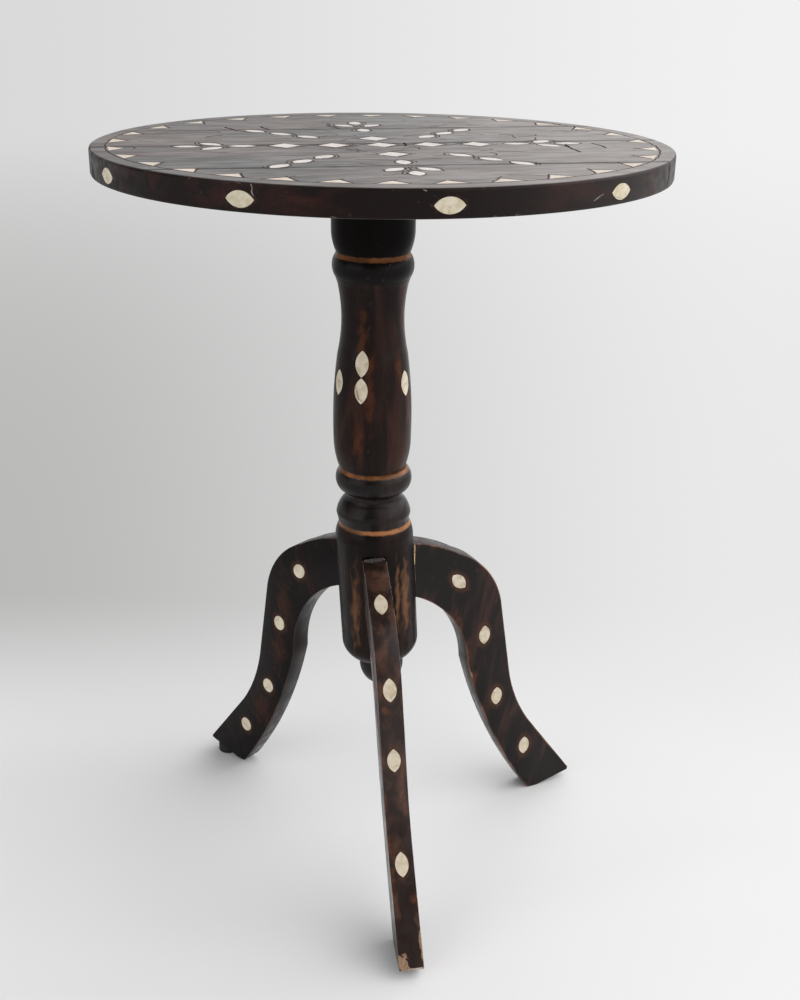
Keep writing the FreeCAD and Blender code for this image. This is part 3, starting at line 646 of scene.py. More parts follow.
@dataclass(frozen=True)
class StainedWood:
    """Dark stain, thin in patches along the grain, rubbed off round the inlay and on worn places."""

    name: str
    grain: Sequence[float]
    dark: Colour = tone(24, 17, 15)
    warm: Colour = tone(54, 34, 27)
    halo: Colour = tone(108, 60, 34)
    bare: Colour = tone(166, 136, 110)
    blackened: Colour = tone(10, 6, 5)
    ring: Colour = tone(168, 112, 72)
    ring_shade: Colour = tone(112, 74, 44)
    scratch: Colour = tone(136, 116, 104)
    patch_scale: float = 60.0
    patch_start: float = 0.45
    patch_blur: float = 0.26
    streak_scale: float = 620.0
    streaks: float = 0.35
    scratch_scale: float = 480.0
    scratch_slant: Triple = (0.0, 25.0, 18.0)
    scratch_share: float = 0.16
    dent_scale: float = 130.0
    rough_scale: float = 240.0
    smudge_scale: float = 260.0
    fibre_scale: float = 520.0
    ring_scale: float = 45.0
    halo_reach: float = 1.35
    halo_share: float = 0.35
    halo_rag: float = 0.16
    gap_share: float = 0.7
    rubbed_share: float = 0.8
    worn_share: float = 0.92
    place_rag: float = 0.4
    roughness: float = 0.3
    sheen: float = 0.12
    relief: float = 0.2
    relief_depth: float = 0.5 * MM
    black_from: float = 1.0
    inlay: tuple[Spot, ...] = ()
    rubbed: tuple[Spot, ...] = ()
    worn: tuple[Spot, ...] = ()
    black: tuple[Spot, ...] = ()
    bands: tuple[Band, ...] = ()

    def along(self, book: NodeBook, stretch: float) -> Socket:
        """Coordinates along the grain, in which a factor below 1 draws a pattern out."""
        return book.turned(self.grain, (stretch, 1.0, 1.0))

    def stain(self, book: NodeBook, fine: Socket) -> Socket:
        """The stain itself, patched and streaked along the grain.

        Args:
            book: The material's nodes.
            fine: Fine streaks.

        Returns:
            The colour.
        """
        patches = book.noise(self.along(book, 0.2), self.patch_scale, 6.0, 0.6)
        thin = book.fade(patches, self.patch_start, self.patch_start + self.patch_blur)
        stained = book.mix(thin, self.dark, self.warm)
        stained = book.mix(book.fade(fine, 0.42, 0.66, 0.0, self.streaks), stained, self.dark)
        if self.black:
            ragged = book.sum("ADD", book.nearest(self.black), book.fade(patches, 0.3, 0.7, -0.3, 0.3))
            stained = book.mix(book.fade(ragged, 0.7, 1.1, 1.0, 0.0), stained, self.dark)
        above = book.fade(book.axis("Z"), self.black_from - MM, self.black_from)
        return book.mix(above, stained, self.blackened)

    def scratched(self, book: NodeBook, colour: Socket) -> Socket:
        """Adds fine pale scratches, slanting to the grain.

        Args:
            book: The material's nodes.
            colour: The stain.

        Returns:
            The colour.
        """
        slanted = [turn + slant for turn, slant in zip(self.grain, self.scratch_slant)]
        scratches = book.noise(book.turned(slanted, (0.05, 1.0, 1.0)), self.scratch_scale, 2.0)
        return book.mix(book.fade(scratches, 0.7, 0.76, 0.0, self.scratch_share), colour, self.scratch)

    def rubbed_off(self, book: NodeBook, colour: Socket) -> Socket:
        """Adds the halos round the inlay, the bare grooves and the worn places.

        Args:
            book: The material's nodes.
            colour: The stain.

        Returns:
            The colour.
        """
        rough = book.noise(book.spot, self.rough_scale, 5.0)
        if self.inlay:
            near = book.nearest(self.inlay)
            ragged = book.sum("ADD", near, book.fade(rough, 0.25, 0.75, -self.halo_rag, self.halo_rag))
            halo = book.fade(ragged, 1.0, self.halo_reach, self.halo_share, 0.0)
            colour = book.mix(halo, colour, self.halo)
            colour = book.mix(book.fade(near, 1.03, 1.12, self.gap_share, 0.0), colour, self.dark)
        if self.rubbed:
            soft = book.noise(self.along(book, 0.4), self.smudge_scale, 2.0)
            ragged = book.ragged(self.rubbed, soft, self.place_rag)
            colour = book.mix(book.fade(ragged, 0.0, 1.2, self.rubbed_share, 0.0), colour, self.halo)
        for band in self.bands:
            gap = book.sum("ABSOLUTE", book.sum("SUBTRACT", book.axis("Z"), band.height), 0.0)
            uneven = book.fade(rough, 0.3, 0.7, -0.06 * band.half, 0.14 * band.half)
            gap = book.sum("ADD", gap, uneven)
            share = book.fade(gap, 0.3 * band.half, 1.1 * band.half, band.bareness, 0.0)
            blotches = book.fade(book.noise(book.spot, self.ring_scale, 3.0), 0.4, 0.65)
            colour = book.mix(share, colour, book.mix(blotches, self.ring, self.ring_shade))
        if self.worn:
            ragged = book.ragged(self.worn, rough, self.place_rag)
            fibres = book.noise(self.along(book, 0.08), self.fibre_scale, 3.0)
            bare = book.mix(book.fade(fibres, 0.35, 0.75, 0.0, 0.5), self.bare, self.halo)
            colour = book.mix(book.fade(ragged, 0.86, 1.0, self.worn_share, 0.0), colour, bare)
        return colour

    def material(self) -> Material:
        """The finish as a material.

        Returns:
            The material.
        """
        book = MaterialBook(self.name)
        fine = book.noise(self.along(book, 0.04), self.streak_scale, 4.0)
        dents = book.noise(self.along(book, 0.3), self.dent_scale, 3.0)
        colour = self.rubbed_off(book, self.scratched(book, self.stain(book, fine)))
        gloss = book.fade(dents, 0.3, 0.7, self.roughness - 0.07, self.roughness + 0.12)
        relief = book.sum("ADD", book.sum("MULTIPLY", fine, 0.5), dents)
        return book.finish(
            Base_Color=colour, Roughness=gloss, Specular_IOR_Level=self.shine(book),
            Normal=book.bumps(relief, self.relief_depth, self.relief),
        )

    def shine(self, book: NodeBook) -> Value:
        """How much the finish mirrors the room."""
        return self.sheen


@dataclass(frozen=True)
class TopWood(StainedWood):
    """Stain of the top: greyed and rubbed flat above, dark on the rim with halos round its lenses, and a
    painted sheen that pales the face and greys the rim towards the right.
    """

    rim_radius: float = 209.2 * MM
    rim_blur: float = 0.8 * MM
    rim_sheen: float = 0.14
    # Painted sheen on the rim: where along X it greys towards the right, and how much.
    rim_painted_sheen_side: tuple[float, float] = (0.02, 0.2)
    rim_painted_sheen_share: float = 0.25
    flat: Colour = tone(84, 78, 76)
    flat_warm: Colour = tone(110, 97, 93)
    flat_cool: Colour = tone(90, 93, 92)
    # Painted sheen on the face: the paler tone it takes towards the right, where it rises along X, and how
    # much of it shows.
    flat_painted_sheen: Colour = tone(150, 140, 136)
    painted_sheen_side: tuple[float, float] = (-0.05, 0.16)
    painted_sheen_share: float = 0.62
    cloud_scale: float = 22.0
    cool_scale: float = 15.0
    seams: tuple[float, ...] = ()
    dirt_width: float = 5.5 * MM

    def rim(self, book: NodeBook, on_face: float, on_rim: float) -> Socket:
        """One number on the face of the top, another on the rim.

        Args:
            book: The material's nodes.
            on_face: The number on the face.
            on_rim: The number on the rim.

        Returns:
            The number.
        """
        flat = book.add("ShaderNodeVectorMath", operation="MULTIPLY")
        book.feed(flat.inputs[0], book.spot)
        book.feed(flat.inputs[1], (1.0, 1.0, 0.0))
        radius = book.add("ShaderNodeVectorMath", operation="LENGTH")
        book.feed(radius.inputs[0], flat.outputs["Vector"])
        face_edge = self.rim_radius - self.rim_blur
        return book.fade(radius.outputs["Value"], face_edge, self.rim_radius, on_face, on_rim)

    def stain(self, book: NodeBook, fine: Socket) -> Socket:
        """The greyed stain of the flat, and the dark stain of the rim, both with a painted sheen towards the
        right.

        Args:
            book: The material's nodes.
            fine: Fine streaks.

        Returns:
            The colour.
        """
        clouds = book.noise(self.along(book, 0.35), self.cloud_scale, 6.0, 0.8)
        cool = book.noise(self.along(book, 0.3), self.cool_scale, 4.0, 0.5)
        face = book.mix(book.fade(clouds, 0.35, 0.7), self.flat, self.flat_warm)
        face = book.mix(book.fade(cool, 0.45, 0.65, 0.0, 0.8), face, self.flat_cool)
        face = book.mix(book.fade(fine, 0.5, 0.74, 0.0, 0.22), face, self.dark)
        # Painted sheen: the face turns paler towards the right, where the light falls.
        painted_sheen = book.fade(book.axis("X"), *self.painted_sheen_side, 0.0, self.painted_sheen_share)
        face = book.mix(painted_sheen, face, self.flat_painted_sheen)
        across = book.add("ShaderNodeSeparateXYZ")
        book.feed(across.inputs["Vector"], self.along(book, 1.0))
        kept = book.fade(clouds, 0.3, 0.65, 0.95, 0.5)
        for seam in self.seams:
            gap = book.sum("ABSOLUTE", book.sum("SUBTRACT", across.outputs["Y"], seam), 0.0)
            dirt = book.fade(gap, 0.25 * self.dirt_width, self.dirt_width, 1.0, 0.0)
            face = book.mix(book.sum("MULTIPLY", dirt, kept), face, self.dark)
        # Painted sheen: the rim greys towards its right end.
        rim_painted_sheen = book.fade(book.axis("X"), *self.rim_painted_sheen_side, 0.0, self.rim_painted_sheen_share)
        rim = book.mix(rim_painted_sheen, super().stain(book, fine), self.flat)
        return book.mix(self.rim(book, 0.0, 1.0), face, rim)

    def shine(self, book: NodeBook) -> Value:
        """How much the finish mirrors the room: the rubbed face more than the rim."""
        return self.rim(book, self.sheen, self.rim_sheen)


@dataclass(frozen=True)
class Bone:
    """Polished bone, mottled, with hairline cracks."""

    name: str
    pale: Colour
    deep: Colour
    crack: Colour = tone(104, 84, 62)
    mottle_scale: float = 170.0
    speck_scale: float = 900.0
    crack_scale: float = 46.0
    crack_edge: tuple[float, float] = (0.004, 0.012)
    gloss: tuple[float, float] = (0.32, 0.48)
    relief: float = 0.4
    relief_depth: float = 0.3 * MM

    def material(self) -> Material:
        """The finish as a material.

        Returns:
            The material.
        """
        book = MaterialBook(self.name)
        mottle = book.noise(book.spot, self.mottle_scale, 5.0, 0.5)
        specks = book.noise(book.spot, self.speck_scale, 3.0)
        colour = book.mix(book.fade(mottle, 0.35, 0.72), self.pale, self.deep)
        colour = book.mix(book.fade(specks, 0.6, 0.75, 0.0, 0.3), colour, self.deep)
        hairline = book.fade(book.cracks(book.spot, self.crack_scale), *self.crack_edge, 1.0, 0.0)
        hairline = book.sum("MULTIPLY", hairline, book.fade(mottle, 0.5, 0.6, 0.0, 0.6))
        relief = book.sum("SUBTRACT", book.sum("MULTIPLY", specks, 0.4), hairline)
        return book.finish(
            Base_Color=book.mix(hairline, colour, self.crack),
            Roughness=book.fade(mottle, 0.3, 0.7, *self.gloss),
            Normal=book.bumps(relief, self.relief_depth, self.relief),
        )


@dataclass(frozen=True)
class Plain:
    """Bare wood, rubber, glue or filler: two tones in clouds, with a fine relief."""

    name: str
    first: Colour
    second: Colour
    scale: float
    roughness: float
    stretch: Triple = (1.0, 1.0, 1.0)
    grit: float = 6.0
    gloss_swing: float = 0.06
    relief: float = 0.4
    relief_depth: float = 0.4 * MM

    def material(self) -> Material:
        """The finish as a material, made once.

        Returns:
            The material.
        """
        made = bpy.data.materials.get(self.name)
        if made:
            return made
        book = MaterialBook(self.name)
        clouds = book.noise(book.turned(Grain.ALONG_X.value, self.stretch), self.scale, 4.0, 0.3)
        grit = book.noise(book.spot, self.scale * self.grit, 3.0)
        smoother, rougher = self.roughness - self.gloss_swing, self.roughness + self.gloss_swing
        relief = book.sum("ADD", clouds, book.sum("MULTIPLY", grit, 0.5))
        return book.finish(
            Base_Color=book.mix(book.fade(clouds, 0.3, 0.7), self.first, self.second),
            Roughness=book.fade(grit, 0.3, 0.7, smoother, rougher),
            Normal=book.bumps(relief, self.relief_depth, self.relief),
        )


SCORED = Plain("scored_line", tone(42, 31, 27), tone(84, 66, 58), 90.0, 0.75)
DEEP_SCORED = Plain("deep_scored_line", tone(20, 14, 12), tone(42, 30, 25), 90.0, 0.75)
SCUFFED = Plain("scuffed_wood", tone(160, 154, 148), tone(92, 84, 79), 420.0, 0.8)
CHIPPED = Plain("chipped_wood", tone(88, 68, 57), tone(52, 38, 32), 200.0, 0.8)
RAW_WOOD = Plain("raw_wood", tone(196, 164, 120), tone(168, 130, 88), 240.0, 0.6, (0.06, 1.0, 1.0))
RUBBER = Plain("pad_rubber", tone(22, 22, 23), tone(34, 34, 35), 320.0, 0.75)
GLUE = Plain("dried_glue", tone(226, 204, 160), tone(150, 112, 64), 420.0, 0.45)
FILLER = Plain("dark_filler", tone(22, 18, 17), tone(92, 84, 80), 620.0, 0.85)
STAR_BONE = Bone("star_bone", tone(230, 222, 217), tone(214, 203, 196))
BORDER_BONE = Bone("border_bone", tone(230, 216, 200), tone(211, 193, 172))
RIM_BONE = Bone("rim_bone", tone(218, 209, 187), tone(196, 182, 150))
# A paler copy of the leg bone for the left leg, standing in for light that leg lacks: painted light.
PAINTED_LIGHT_BONE = Bone("painted_light_bone", tone(241, 230, 206), tone(219, 204, 174))
LEG_BONE = Bone("leg_bone", tone(224, 212, 190), tone(200, 184, 154))


# Round top


@dataclass
class ScoredLines:
    """Lines scratched into the wood, kept as strokes and cut as fine V grooves."""

    half_width: float
    finish: Plain = SCORED
    weld: float = 0.001 * MM

    def tool(self, strokes: Sequence[Sequence[Vector]], name: str) -> Piece:
        """A cutter along some strokes.

        Args:
            strokes: Points of each stroke.
            name: Name of the cutter.

        Returns:
            The cutter as a mesh.
        """
        line = bpy.data.curves.new(name, "CURVE")
        line.dimensions = "3D"
        line.twist_mode = "Z_UP"
        line.bevel_depth = self.half_width
        line.bevel_resolution = 0
        line.use_fill_caps = True
        for stroke in strokes:
            closed = is_closed(stroke)
            points = stroke[:-1] if closed else stroke
            spline = line.splines.new("POLY")
            spline.points.add(len(points) - 1)
            for spot, point in zip(spline.points, points):
                spot.co = (*point, 1.0)
            spline.use_cyclic_u = closed
        select_only(linked(name, line))
        bpy.ops.object.convert(target="MESH")
        tool = bpy.context.view_layer.objects.active
        bpy.ops.object.mode_set(mode="EDIT")
        bpy.ops.mesh.select_all(action="SELECT")
        bpy.ops.mesh.remove_doubles(threshold=self.weld)
        bpy.ops.mesh.normals_make_consistent(inside=False)
        bpy.ops.object.mode_set(mode="OBJECT")
        dress(tool, self.finish.material())
        return tool


# Slips of the knife, as millimetres to the right and back on the face of the top
SLIPS = (
    ((-125, 85), (-118, 74), (-112, 60)), ((-97, 92), (-94, 82), (-88, 72)),
    ((-45, 110), (-42, 98), (-35, 85)), ((-132, 20), (-127, 28), (-120, 32)),
    ((-90, -22), (-83, -24), (-75, -28)), ((15, 0), (16, -9), (15, -20)),
    ((133, 0), (134, -18), (138, -40)), ((153, 10), (158, 0), (160, -15)),
    ((128, 150), (140, 143), (150, 125)),
)
# Cracks and scuffs of the rim, as degrees round the top and millimetres below its face
RIM_CRACKS = (((-161.3, 6.5), (-159.8, 11.5), (-158.2, 17.4)), ((-160.3, 10.5), (-160.9, 17.0)))
RIM_SCUFFS = (
    ((-112.1, 0.6), (-111.8, 3.0), (-111.95, 5.5), (-111.6, 8.0)), ((-84.0, 0.5), (-83.2, 1.6)),
    ((-51.9, 13.4), (-50.6, 11.2), (-49.5, 9.9)),
)


@dataclass
class RoundTop:
    """The planks of the round top, with the scored drawing round the bone, nicks and cracks."""

    radius: float = 210.0 * MM
    seam_turn: float = Grain.ACROSS.value[2]
    seams: tuple[float, ...] = (-118.0 * MM, -4.5 * MM, 88.5 * MM)
    planks: tuple[str, ...] = (
        "top_plank_front", "top_plank_mid_front", "top_plank_mid_back", "top_plank_back",
    )
    star: tuple[str, ...] = ("inlay_diamonds", "inlay_petals", "inlay_diagonals")
    lens_depth: float = 5.0 * MM
    ring_inset: float = 11.5 * MM
    ring_squeeze: float = 5.5 * MM
    ring_shift: float = 2.0 * MM
    ring_step: int = 3
    line_width: float = 1.2 * MM
    deep_width: float = 2.0 * MM
    crack_width: float = 2.0 * MM
    seam_width: float = 1.4 * MM
    scuff_width: float = 0.9 * MM
    outline_gap: float = 1.5 * MM
    outline_rounds: tuple[tuple[float, float], ...] = ((1.0, 0.8), (3.0, 0.4))
    wave: float = 8.0 * MM
    wave_swings: tuple[tuple[float, float], ...] = ((0.1, -1.0), (0.35, -0.7), (0.65, 0.4), (0.9, 1.0))
    row_height: float = 12.0 * MM
    wobble: float = 0.6 * MM
    step: float = 5.0 * MM
    overshoot: float = 8.0 * MM
    seam_end: float = 0.5 * MM
    crack_end: float = 0.3 * MM
    crack_lean: float = 1.0
    scratch_count: int = 60
    scratch_place: tuple[float, float] = (30.0, 185.0)
    scratch_spread: float = 28.0
    scratch_bend: float = 38.0
    scratch_step: tuple[float, float] = (4.0, 9.0)
    scratch_inset: float = 14.0 * MM
    nick_count: int = 26
    nick_radius: float = 1.0 * MM
    nick_stretch: tuple[tuple[float, float], ...] = ((0.7, 1.3), (1.5, 4.5), (0.7, 1.4))
    nick_tilt: float = 0.4
    crease: float = 13.0
    chance: random.Random = field(default_factory=lambda: random.Random(11))

    def __post_init__(self) -> None:
        """Takes the heights of the top from the frame."""
        low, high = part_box(self.planks[0])
        self.bottom, self.surface = low[2], high[2]

    def shaky(self, points: Sequence[Vector]) -> Stroke:
        """A stroke drawn by hand through some points, on the surface.

        Args:
            points: Corners of the stroke.

        Returns:
            Points a few millimetres apart, each a little off the line.
        """
        drawn = []
        for here, after in zip(points, points[1:]):
            count = max(1, round((after - here).length / self.step))
            drawn.extend(here.lerp(after, step / count) for step in range(count))
        drawn.append(points[-1].copy())
        closed = is_closed(points)
        for point in drawn[:-1] if closed else drawn:
            point.x += self.chance.uniform(-self.wobble, self.wobble)
            point.y += self.chance.uniform(-self.wobble, self.wobble)
        if closed:
            drawn[-1] = drawn[0].copy()
        for point in drawn:
            point.z = self.surface
        return drawn

    def outlines(self, corners: Sequence[Vector]) -> list[Stroke]:
        """Broken lines round a bone piece: a long one close to it, a short one farther off.

        Args:
            corners: Outline of the piece.

        Returns:
            The strokes.
        """
        middle = middle_of(corners)
        made = []
        for times, share in self.outline_rounds:
            gap = times * self.outline_gap
            grown = [c + (c - middle).normalized() * gap for c in corners]
            first = self.chance.randrange(len(grown))
            count = max(3, round(share * len(grown)) + 1)
            made.append(self.shaky([grown[(first + step) % len(grown)] for step in range(count)]))
        return made

    def strokes(self, nodes: Nodes) -> list[Stroke]:
        """Every scored line on the face of the top.

        Args:
            nodes: The frame's nodes.

        Returns:
            The strokes.
        """
        drawn = []
        for name in self.star:
            for piece in islands(nodes[name]):
                drawn.extend(self.outlines(hull(piece)))
        for piece in islands(nodes["inlay_border_triangles"]):
            drawn.extend(self.zigzag(hull(piece)))
        drawn.append(self.ring())
        drawn.extend(self.scratches())
        return drawn

    def deep_strokes(self, nodes: Nodes) -> list[Stroke]:
        """The lines pressed deeper: the waves along the row of diamonds, and some slips of the knife.

        Args:
            nodes: The frame's nodes.

        Returns:
            The strokes.
        """
        drawn = self.arm_lines(islands(nodes["inlay_diamonds"]))
        for slip in SLIPS:
            drawn.append(self.shaky([Vector((x, y, 0.0)) * MM for x, y in slip]))
        return drawn

    def zigzag(self, corners: Sequence[Vector]) -> list[Stroke]:
        """The two lines beside a border triangle, run on past its point and its base.

        Args:
            corners: Outline of the triangle.

        Returns:
            The strokes.
        """
        middle = middle_of(corners)
        inner = min(corners, key=lambda corner: corner.length)
        made = []
        for corner in corners:
            if corner is inner:
                continue
            way = (corner - inner).normalized()
            side = inner.lerp(corner, 0.5) - middle
            side = (side - way * side.dot(way)).normalized() * self.outline_gap
            start = inner + side - way * self.chance.uniform(0.0, self.overshoot)
            end = corner + side + way * self.chance.uniform(0.0, 0.5 * self.overshoot)
            made.append(self.shaky([start, end]))
        return made

    def ring(self) -> Stroke:
        """The line round the border, near the rim.

        Returns:
            The stroke.
        """
        wide = self.radius - self.ring_inset
        deep = wide - self.ring_squeeze
        around = [polar(1.0, degrees, 0.0) for degrees in range(0, 361, self.ring_step)]
        return self.shaky([Vector((p.x * wide, p.y * deep - self.ring_shift, 0.0)) for p in around])

    def seam_lines(self) -> list[Stroke]:
        """The open glue lines between the planks.

        Returns:
            The strokes.
        """
        turn = Matrix.Rotation(math.radians(self.seam_turn), 3, "Z")
        lines = []
        for seam in self.seams:
            half = math.sqrt(self.radius ** 2 - seam ** 2) - self.seam_end
            lines.append([turn @ Vector((end, seam, self.surface)) for end in (-half, half)])
        return lines

    def arm_lines(self, diamonds: Sequence[Sequence[Vector]]) -> list[Stroke]:
        """Wavy lines that run along the row of diamonds, from one to the next.

        Args:
            diamonds: Corners of each diamond.

        Returns:
            The strokes.
        """
        middles = sorted((middle_of(hull(d)) for d in diamonds), key=lambda m: m.x)
        lines = []
        for here in middles:
            row = [m for m in middles if m.x > here.x + self.wave and abs(m.y - here.y) < self.row_height]
            if not row:
                continue
            after = row[0]
            way = after - here
            side = Vector((-way.y, way.x, 0.0)).normalized() * self.wave
            wave = [here.lerp(after, share) + swing * side for share, swing in self.wave_swings]
            lines.append(self.shaky(wave))
        return lines

    def scratches(self) -> list[Stroke]:
        """Stray short scratches and squiggles.

        Returns:
            The strokes.
        """
        lines = []
        for _ in range(self.scratch_count):
            reach = self.chance.uniform(*self.scratch_place) * MM
            start = polar(reach, self.chance.uniform(0.0, 360.0), 0.0)
            way = self.chance.gauss(0.0, self.scratch_spread) + self.seam_turn
            points = [start]
            for _ in range(self.chance.randint(2, 4)):
                way += self.chance.uniform(-self.scratch_bend, self.scratch_bend)
                points.append(points[-1] + polar(self.chance.uniform(*self.scratch_step) * MM, way, 0.0))
            if max(point.length for point in points) < self.radius - self.scratch_inset:
                lines.append(self.shaky(points))
        return lines

    def rim_cracks(self) -> list[Stroke]:
        """Cracks down the rim, and the ends of the glue lines.

        Returns:
            The strokes.
        """
        angles = []
        for seam in self.seams:
            swing = math.degrees(math.asin(seam / self.radius))
            angles.extend((swing + self.seam_turn, 180.0 - swing + self.seam_turn))
        above, below = self.surface - self.crack_end, self.bottom + self.crack_end
        heights = (above, (self.surface + self.bottom) / 2, below)
        lines = []
        for angle in angles:
            lean = self.chance.uniform(-self.crack_lean, self.crack_lean)
            lines.append([polar(self.radius, angle + lean * step / 2, z) for step, z in enumerate(heights)])
        return lines + [self.rim_line(crack) for crack in RIM_CRACKS]

    def rim_line(self, marks: Sequence[tuple[float, float]]) -> Stroke:
        """A line on the rim, through angles and millimetres below the face."""
        return [polar(self.radius, angle, self.surface - drop * MM) for angle, drop in marks]

    def rim_scuffs(self) -> list[Stroke]:
        """Pale scuffs down the rim."""
        return [self.rim_line(scuff) for scuff in RIM_SCUFFS]

    def nicks(self) -> Piece:
        """Small dents along the edges of the rim.

        Returns:
            The cutter for all of them.
        """
        made = []
        for _ in range(self.nick_count):
            angle = self.chance.uniform(-180.0, 180.0)
            edge = self.chance.choice((self.surface, self.bottom))
            nick = fresh(
                bpy.ops.mesh.primitive_ico_sphere_add, subdivisions=2, radius=self.nick_radius,
                location=polar(self.radius, angle, edge),
            )
            nick.scale = [self.chance.uniform(*reach) for reach in self.nick_stretch]
            tilt = self.chance.uniform(-self.nick_tilt, self.nick_tilt)
            nick.rotation_euler = (tilt, 0.0, math.radians(angle))
            bpy.ops.object.transform_apply(location=True, rotation=True, scale=True)
            made.append(nick)
        nicks = join(made)
        dress(nicks, CHIPPED.material())
        return nicks

    def knife(self, nodes: Nodes) -> list[tuple[ScoredLines, list[Stroke]]]:
        """All the lines of the top, each kind with its width and finish.

        Args:
            nodes: The frame's nodes.

        Returns:
            The kinds, each with its strokes.
        """
        return [
            (ScoredLines(self.line_width / 2), self.strokes(nodes)),
            (ScoredLines(self.crack_width / 2, DEEP_SCORED), self.rim_cracks()),
            (ScoredLines(self.deep_width / 2, DEEP_SCORED), self.deep_strokes(nodes)),
            (ScoredLines(self.scuff_width / 2, SCUFFED), self.rim_scuffs()),
            (ScoredLines(self.seam_width / 2, DEEP_SCORED), self.seam_lines()),
        ]

    def build(self, nodes: Nodes) -> None:
        """Makes the planks and dresses them and the bone of the top.

        Args:
            nodes: The frame's nodes.
        """
        lenses = tuple(Spot.round_points(piece, self.lens_depth) for piece in islands(nodes["inlay_rim"]))
        wood = TopWood(
            "top_wood", Grain.ACROSS.value, dark=tone(21, 12, 10), warm=tone(49, 24, 20),
            halo=tone(80, 45, 25), halo_reach=1.2, halo_share=0.35, roughness=0.38, sheen=0.35,
            relief=0.12, inlay=lenses, seams=self.seams,
        ).material()
        cuts = self.knife(nodes)
        nicks = self.nicks()
        for name in self.planks:
            plank = copy_of(nodes[name], name + "_scored")
            dress(plank, wood)
            low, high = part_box(name)
            front, back = low[1] - MM, high[1] + MM
            tools = []
            for lines, strokes in cuts:
                near = [s for s in strokes if max(p.y for p in s) > front and min(p.y for p in s) < back]
                if near:
                    tools.append(lines.tool(near, "knife"))
            cut_with(plank, join(tools))
            cut_with(plank, linked("dents", nicks.data.copy()))
            smooth(plank, self.crease)
            keep(plank, Slot.TOP, name)
        bpy.data.objects.remove(nicks)
        star = STAR_BONE.material()
        for name in self.star:
            dress(nodes[name], star)
        dress(nodes["inlay_border_triangles"], BORDER_BONE.material())
        dress(nodes["inlay_rim"], RIM_BONE.material())


# Turned column


# Smudges: the centre of each, its half height and its half width, in millimetres
VASE_SMUDGES = (
    (-9.0, -30.0, 409.0, 28.0, 4.5), (-18.5, -28.5, 374.0, 24.0, 5.0), (-9.0, -28.3, 432.0, 14.0, 5.0),
    (-15.0, -24.0, 455.0, 30.0, 4.5), (14.0, -21.0, 430.0, 14.0, 4.0), (20.0, -13.0, 395.0, 26.0, 3.5),
)
DRUM_SMUDGES = (
    (20.5, -22.0, 236.0, 34.0, 6.0), (14.0, -26.0, 240.0, 36.0, 2.5), (-20.0, -26.0, 226.0, 40.0, 5.0),
)


@dataclass
class TurnedColumn:
    """The turned pieces of the column, with bare wood in their grooves."""

    bands: tuple[Band, ...] = (
        Band(515.5 * MM, 2.2 * MM, 0.62),
        Band(343.9 * MM, 2.1 * MM, 0.95),
        Band(297.0 * MM, 2.2 * MM, 1.0),
    )
    bead_foot: float = 498.0 * MM
    axis_x: float = -6.0 * MM
    lens_depth: float = 6.0 * MM
    smudge_depth: float = 8.0 * MM

    def smudges(self, places: Sequence[tuple[float, float, float, float, float]]) -> tuple[Spot, ...]:
        """Upright smudges on the turned wood.

        Args:
            places: Centre of each, and its half height and half width, in millimetres.

        Returns:
            The smudges as spots.
        """
        upright = Vector((0.0, 0.0, 1.0))
        made = []
        for x, y, z, tall, wide in places:
            centre = Vector((x, y, z)) * MM
            outward = Vector((centre.x - self.axis_x, centre.y, 0.0)).normalized()
            half_sizes = (tall * MM, wide * MM, self.smudge_depth)
            made.append(Spot(centre, upright, outward.cross(upright), outward, half_sizes))
        return tuple(made)

    def build(self, nodes: Nodes) -> None:
        """Dresses the column and its bone.

        Args:
            nodes: The frame's nodes.
        """
        lenses = tuple(Spot.round_points(piece, self.lens_depth) for piece in islands(nodes["inlay_column"]))
        upright = Grain.UPRIGHT.value
        vase = StainedWood(
            "vase_wood", upright, dark=tone(24, 14, 11), warm=tone(55, 32, 24), halo=tone(98, 52, 27),
            streaks=0.25, halo_share=0.0, rubbed_share=0.5, black_from=self.bead_foot, inlay=lenses,
            bands=self.bands, rubbed=self.smudges(VASE_SMUDGES),
        ).material()
        drum = StainedWood(
            "drum_wood", upright, dark=tone(15, 8, 6), warm=tone(44, 27, 21), halo=tone(122, 82, 55),
            streaks=0.25, rubbed_share=0.75, bands=self.bands, rubbed=self.smudges(DRUM_SMUDGES),
        ).material()
        # The cap's near-black tones are partly its dark stain and partly painted shade where it sits under
        # the top.
        cap = StainedWood(
            "cap_wood", upright, dark=tone(8, 5, 4), warm=tone(28, 15, 12), patch_start=0.55, sheen=0.05,
            bands=self.bands,
        ).material()
        reel = StainedWood(
            "reel_wood", upright, dark=tone(19, 13, 12), warm=tone(41, 28, 24), sheen=0.2, relief=0.1,
            bands=self.bands,
        ).material()
        turned = {
            "column_cap": cap, "column_vase": vase, "column_reel": reel, "column_drum": drum,
            "drop_knob": reel,
        }
        for name, wood in turned.items():
            dress(nodes[name], wood)
            log.info("%s dressed", name)
        dress(nodes["inlay_column"], LEG_BONE.material())
        dress(nodes["leg_dowels"], RAW_WOOD.material())


# Legs


# Material slots of a leg's board, after its wood
EDGE_SLOT, SIDE_SLOT = 1, 2


@dataclass(frozen=True)
class Place:
    """A place on a leg, in millimetres of the leg's own frame: out, across and up, with half sizes."""

    centre: Triple
    half_sizes: Triple


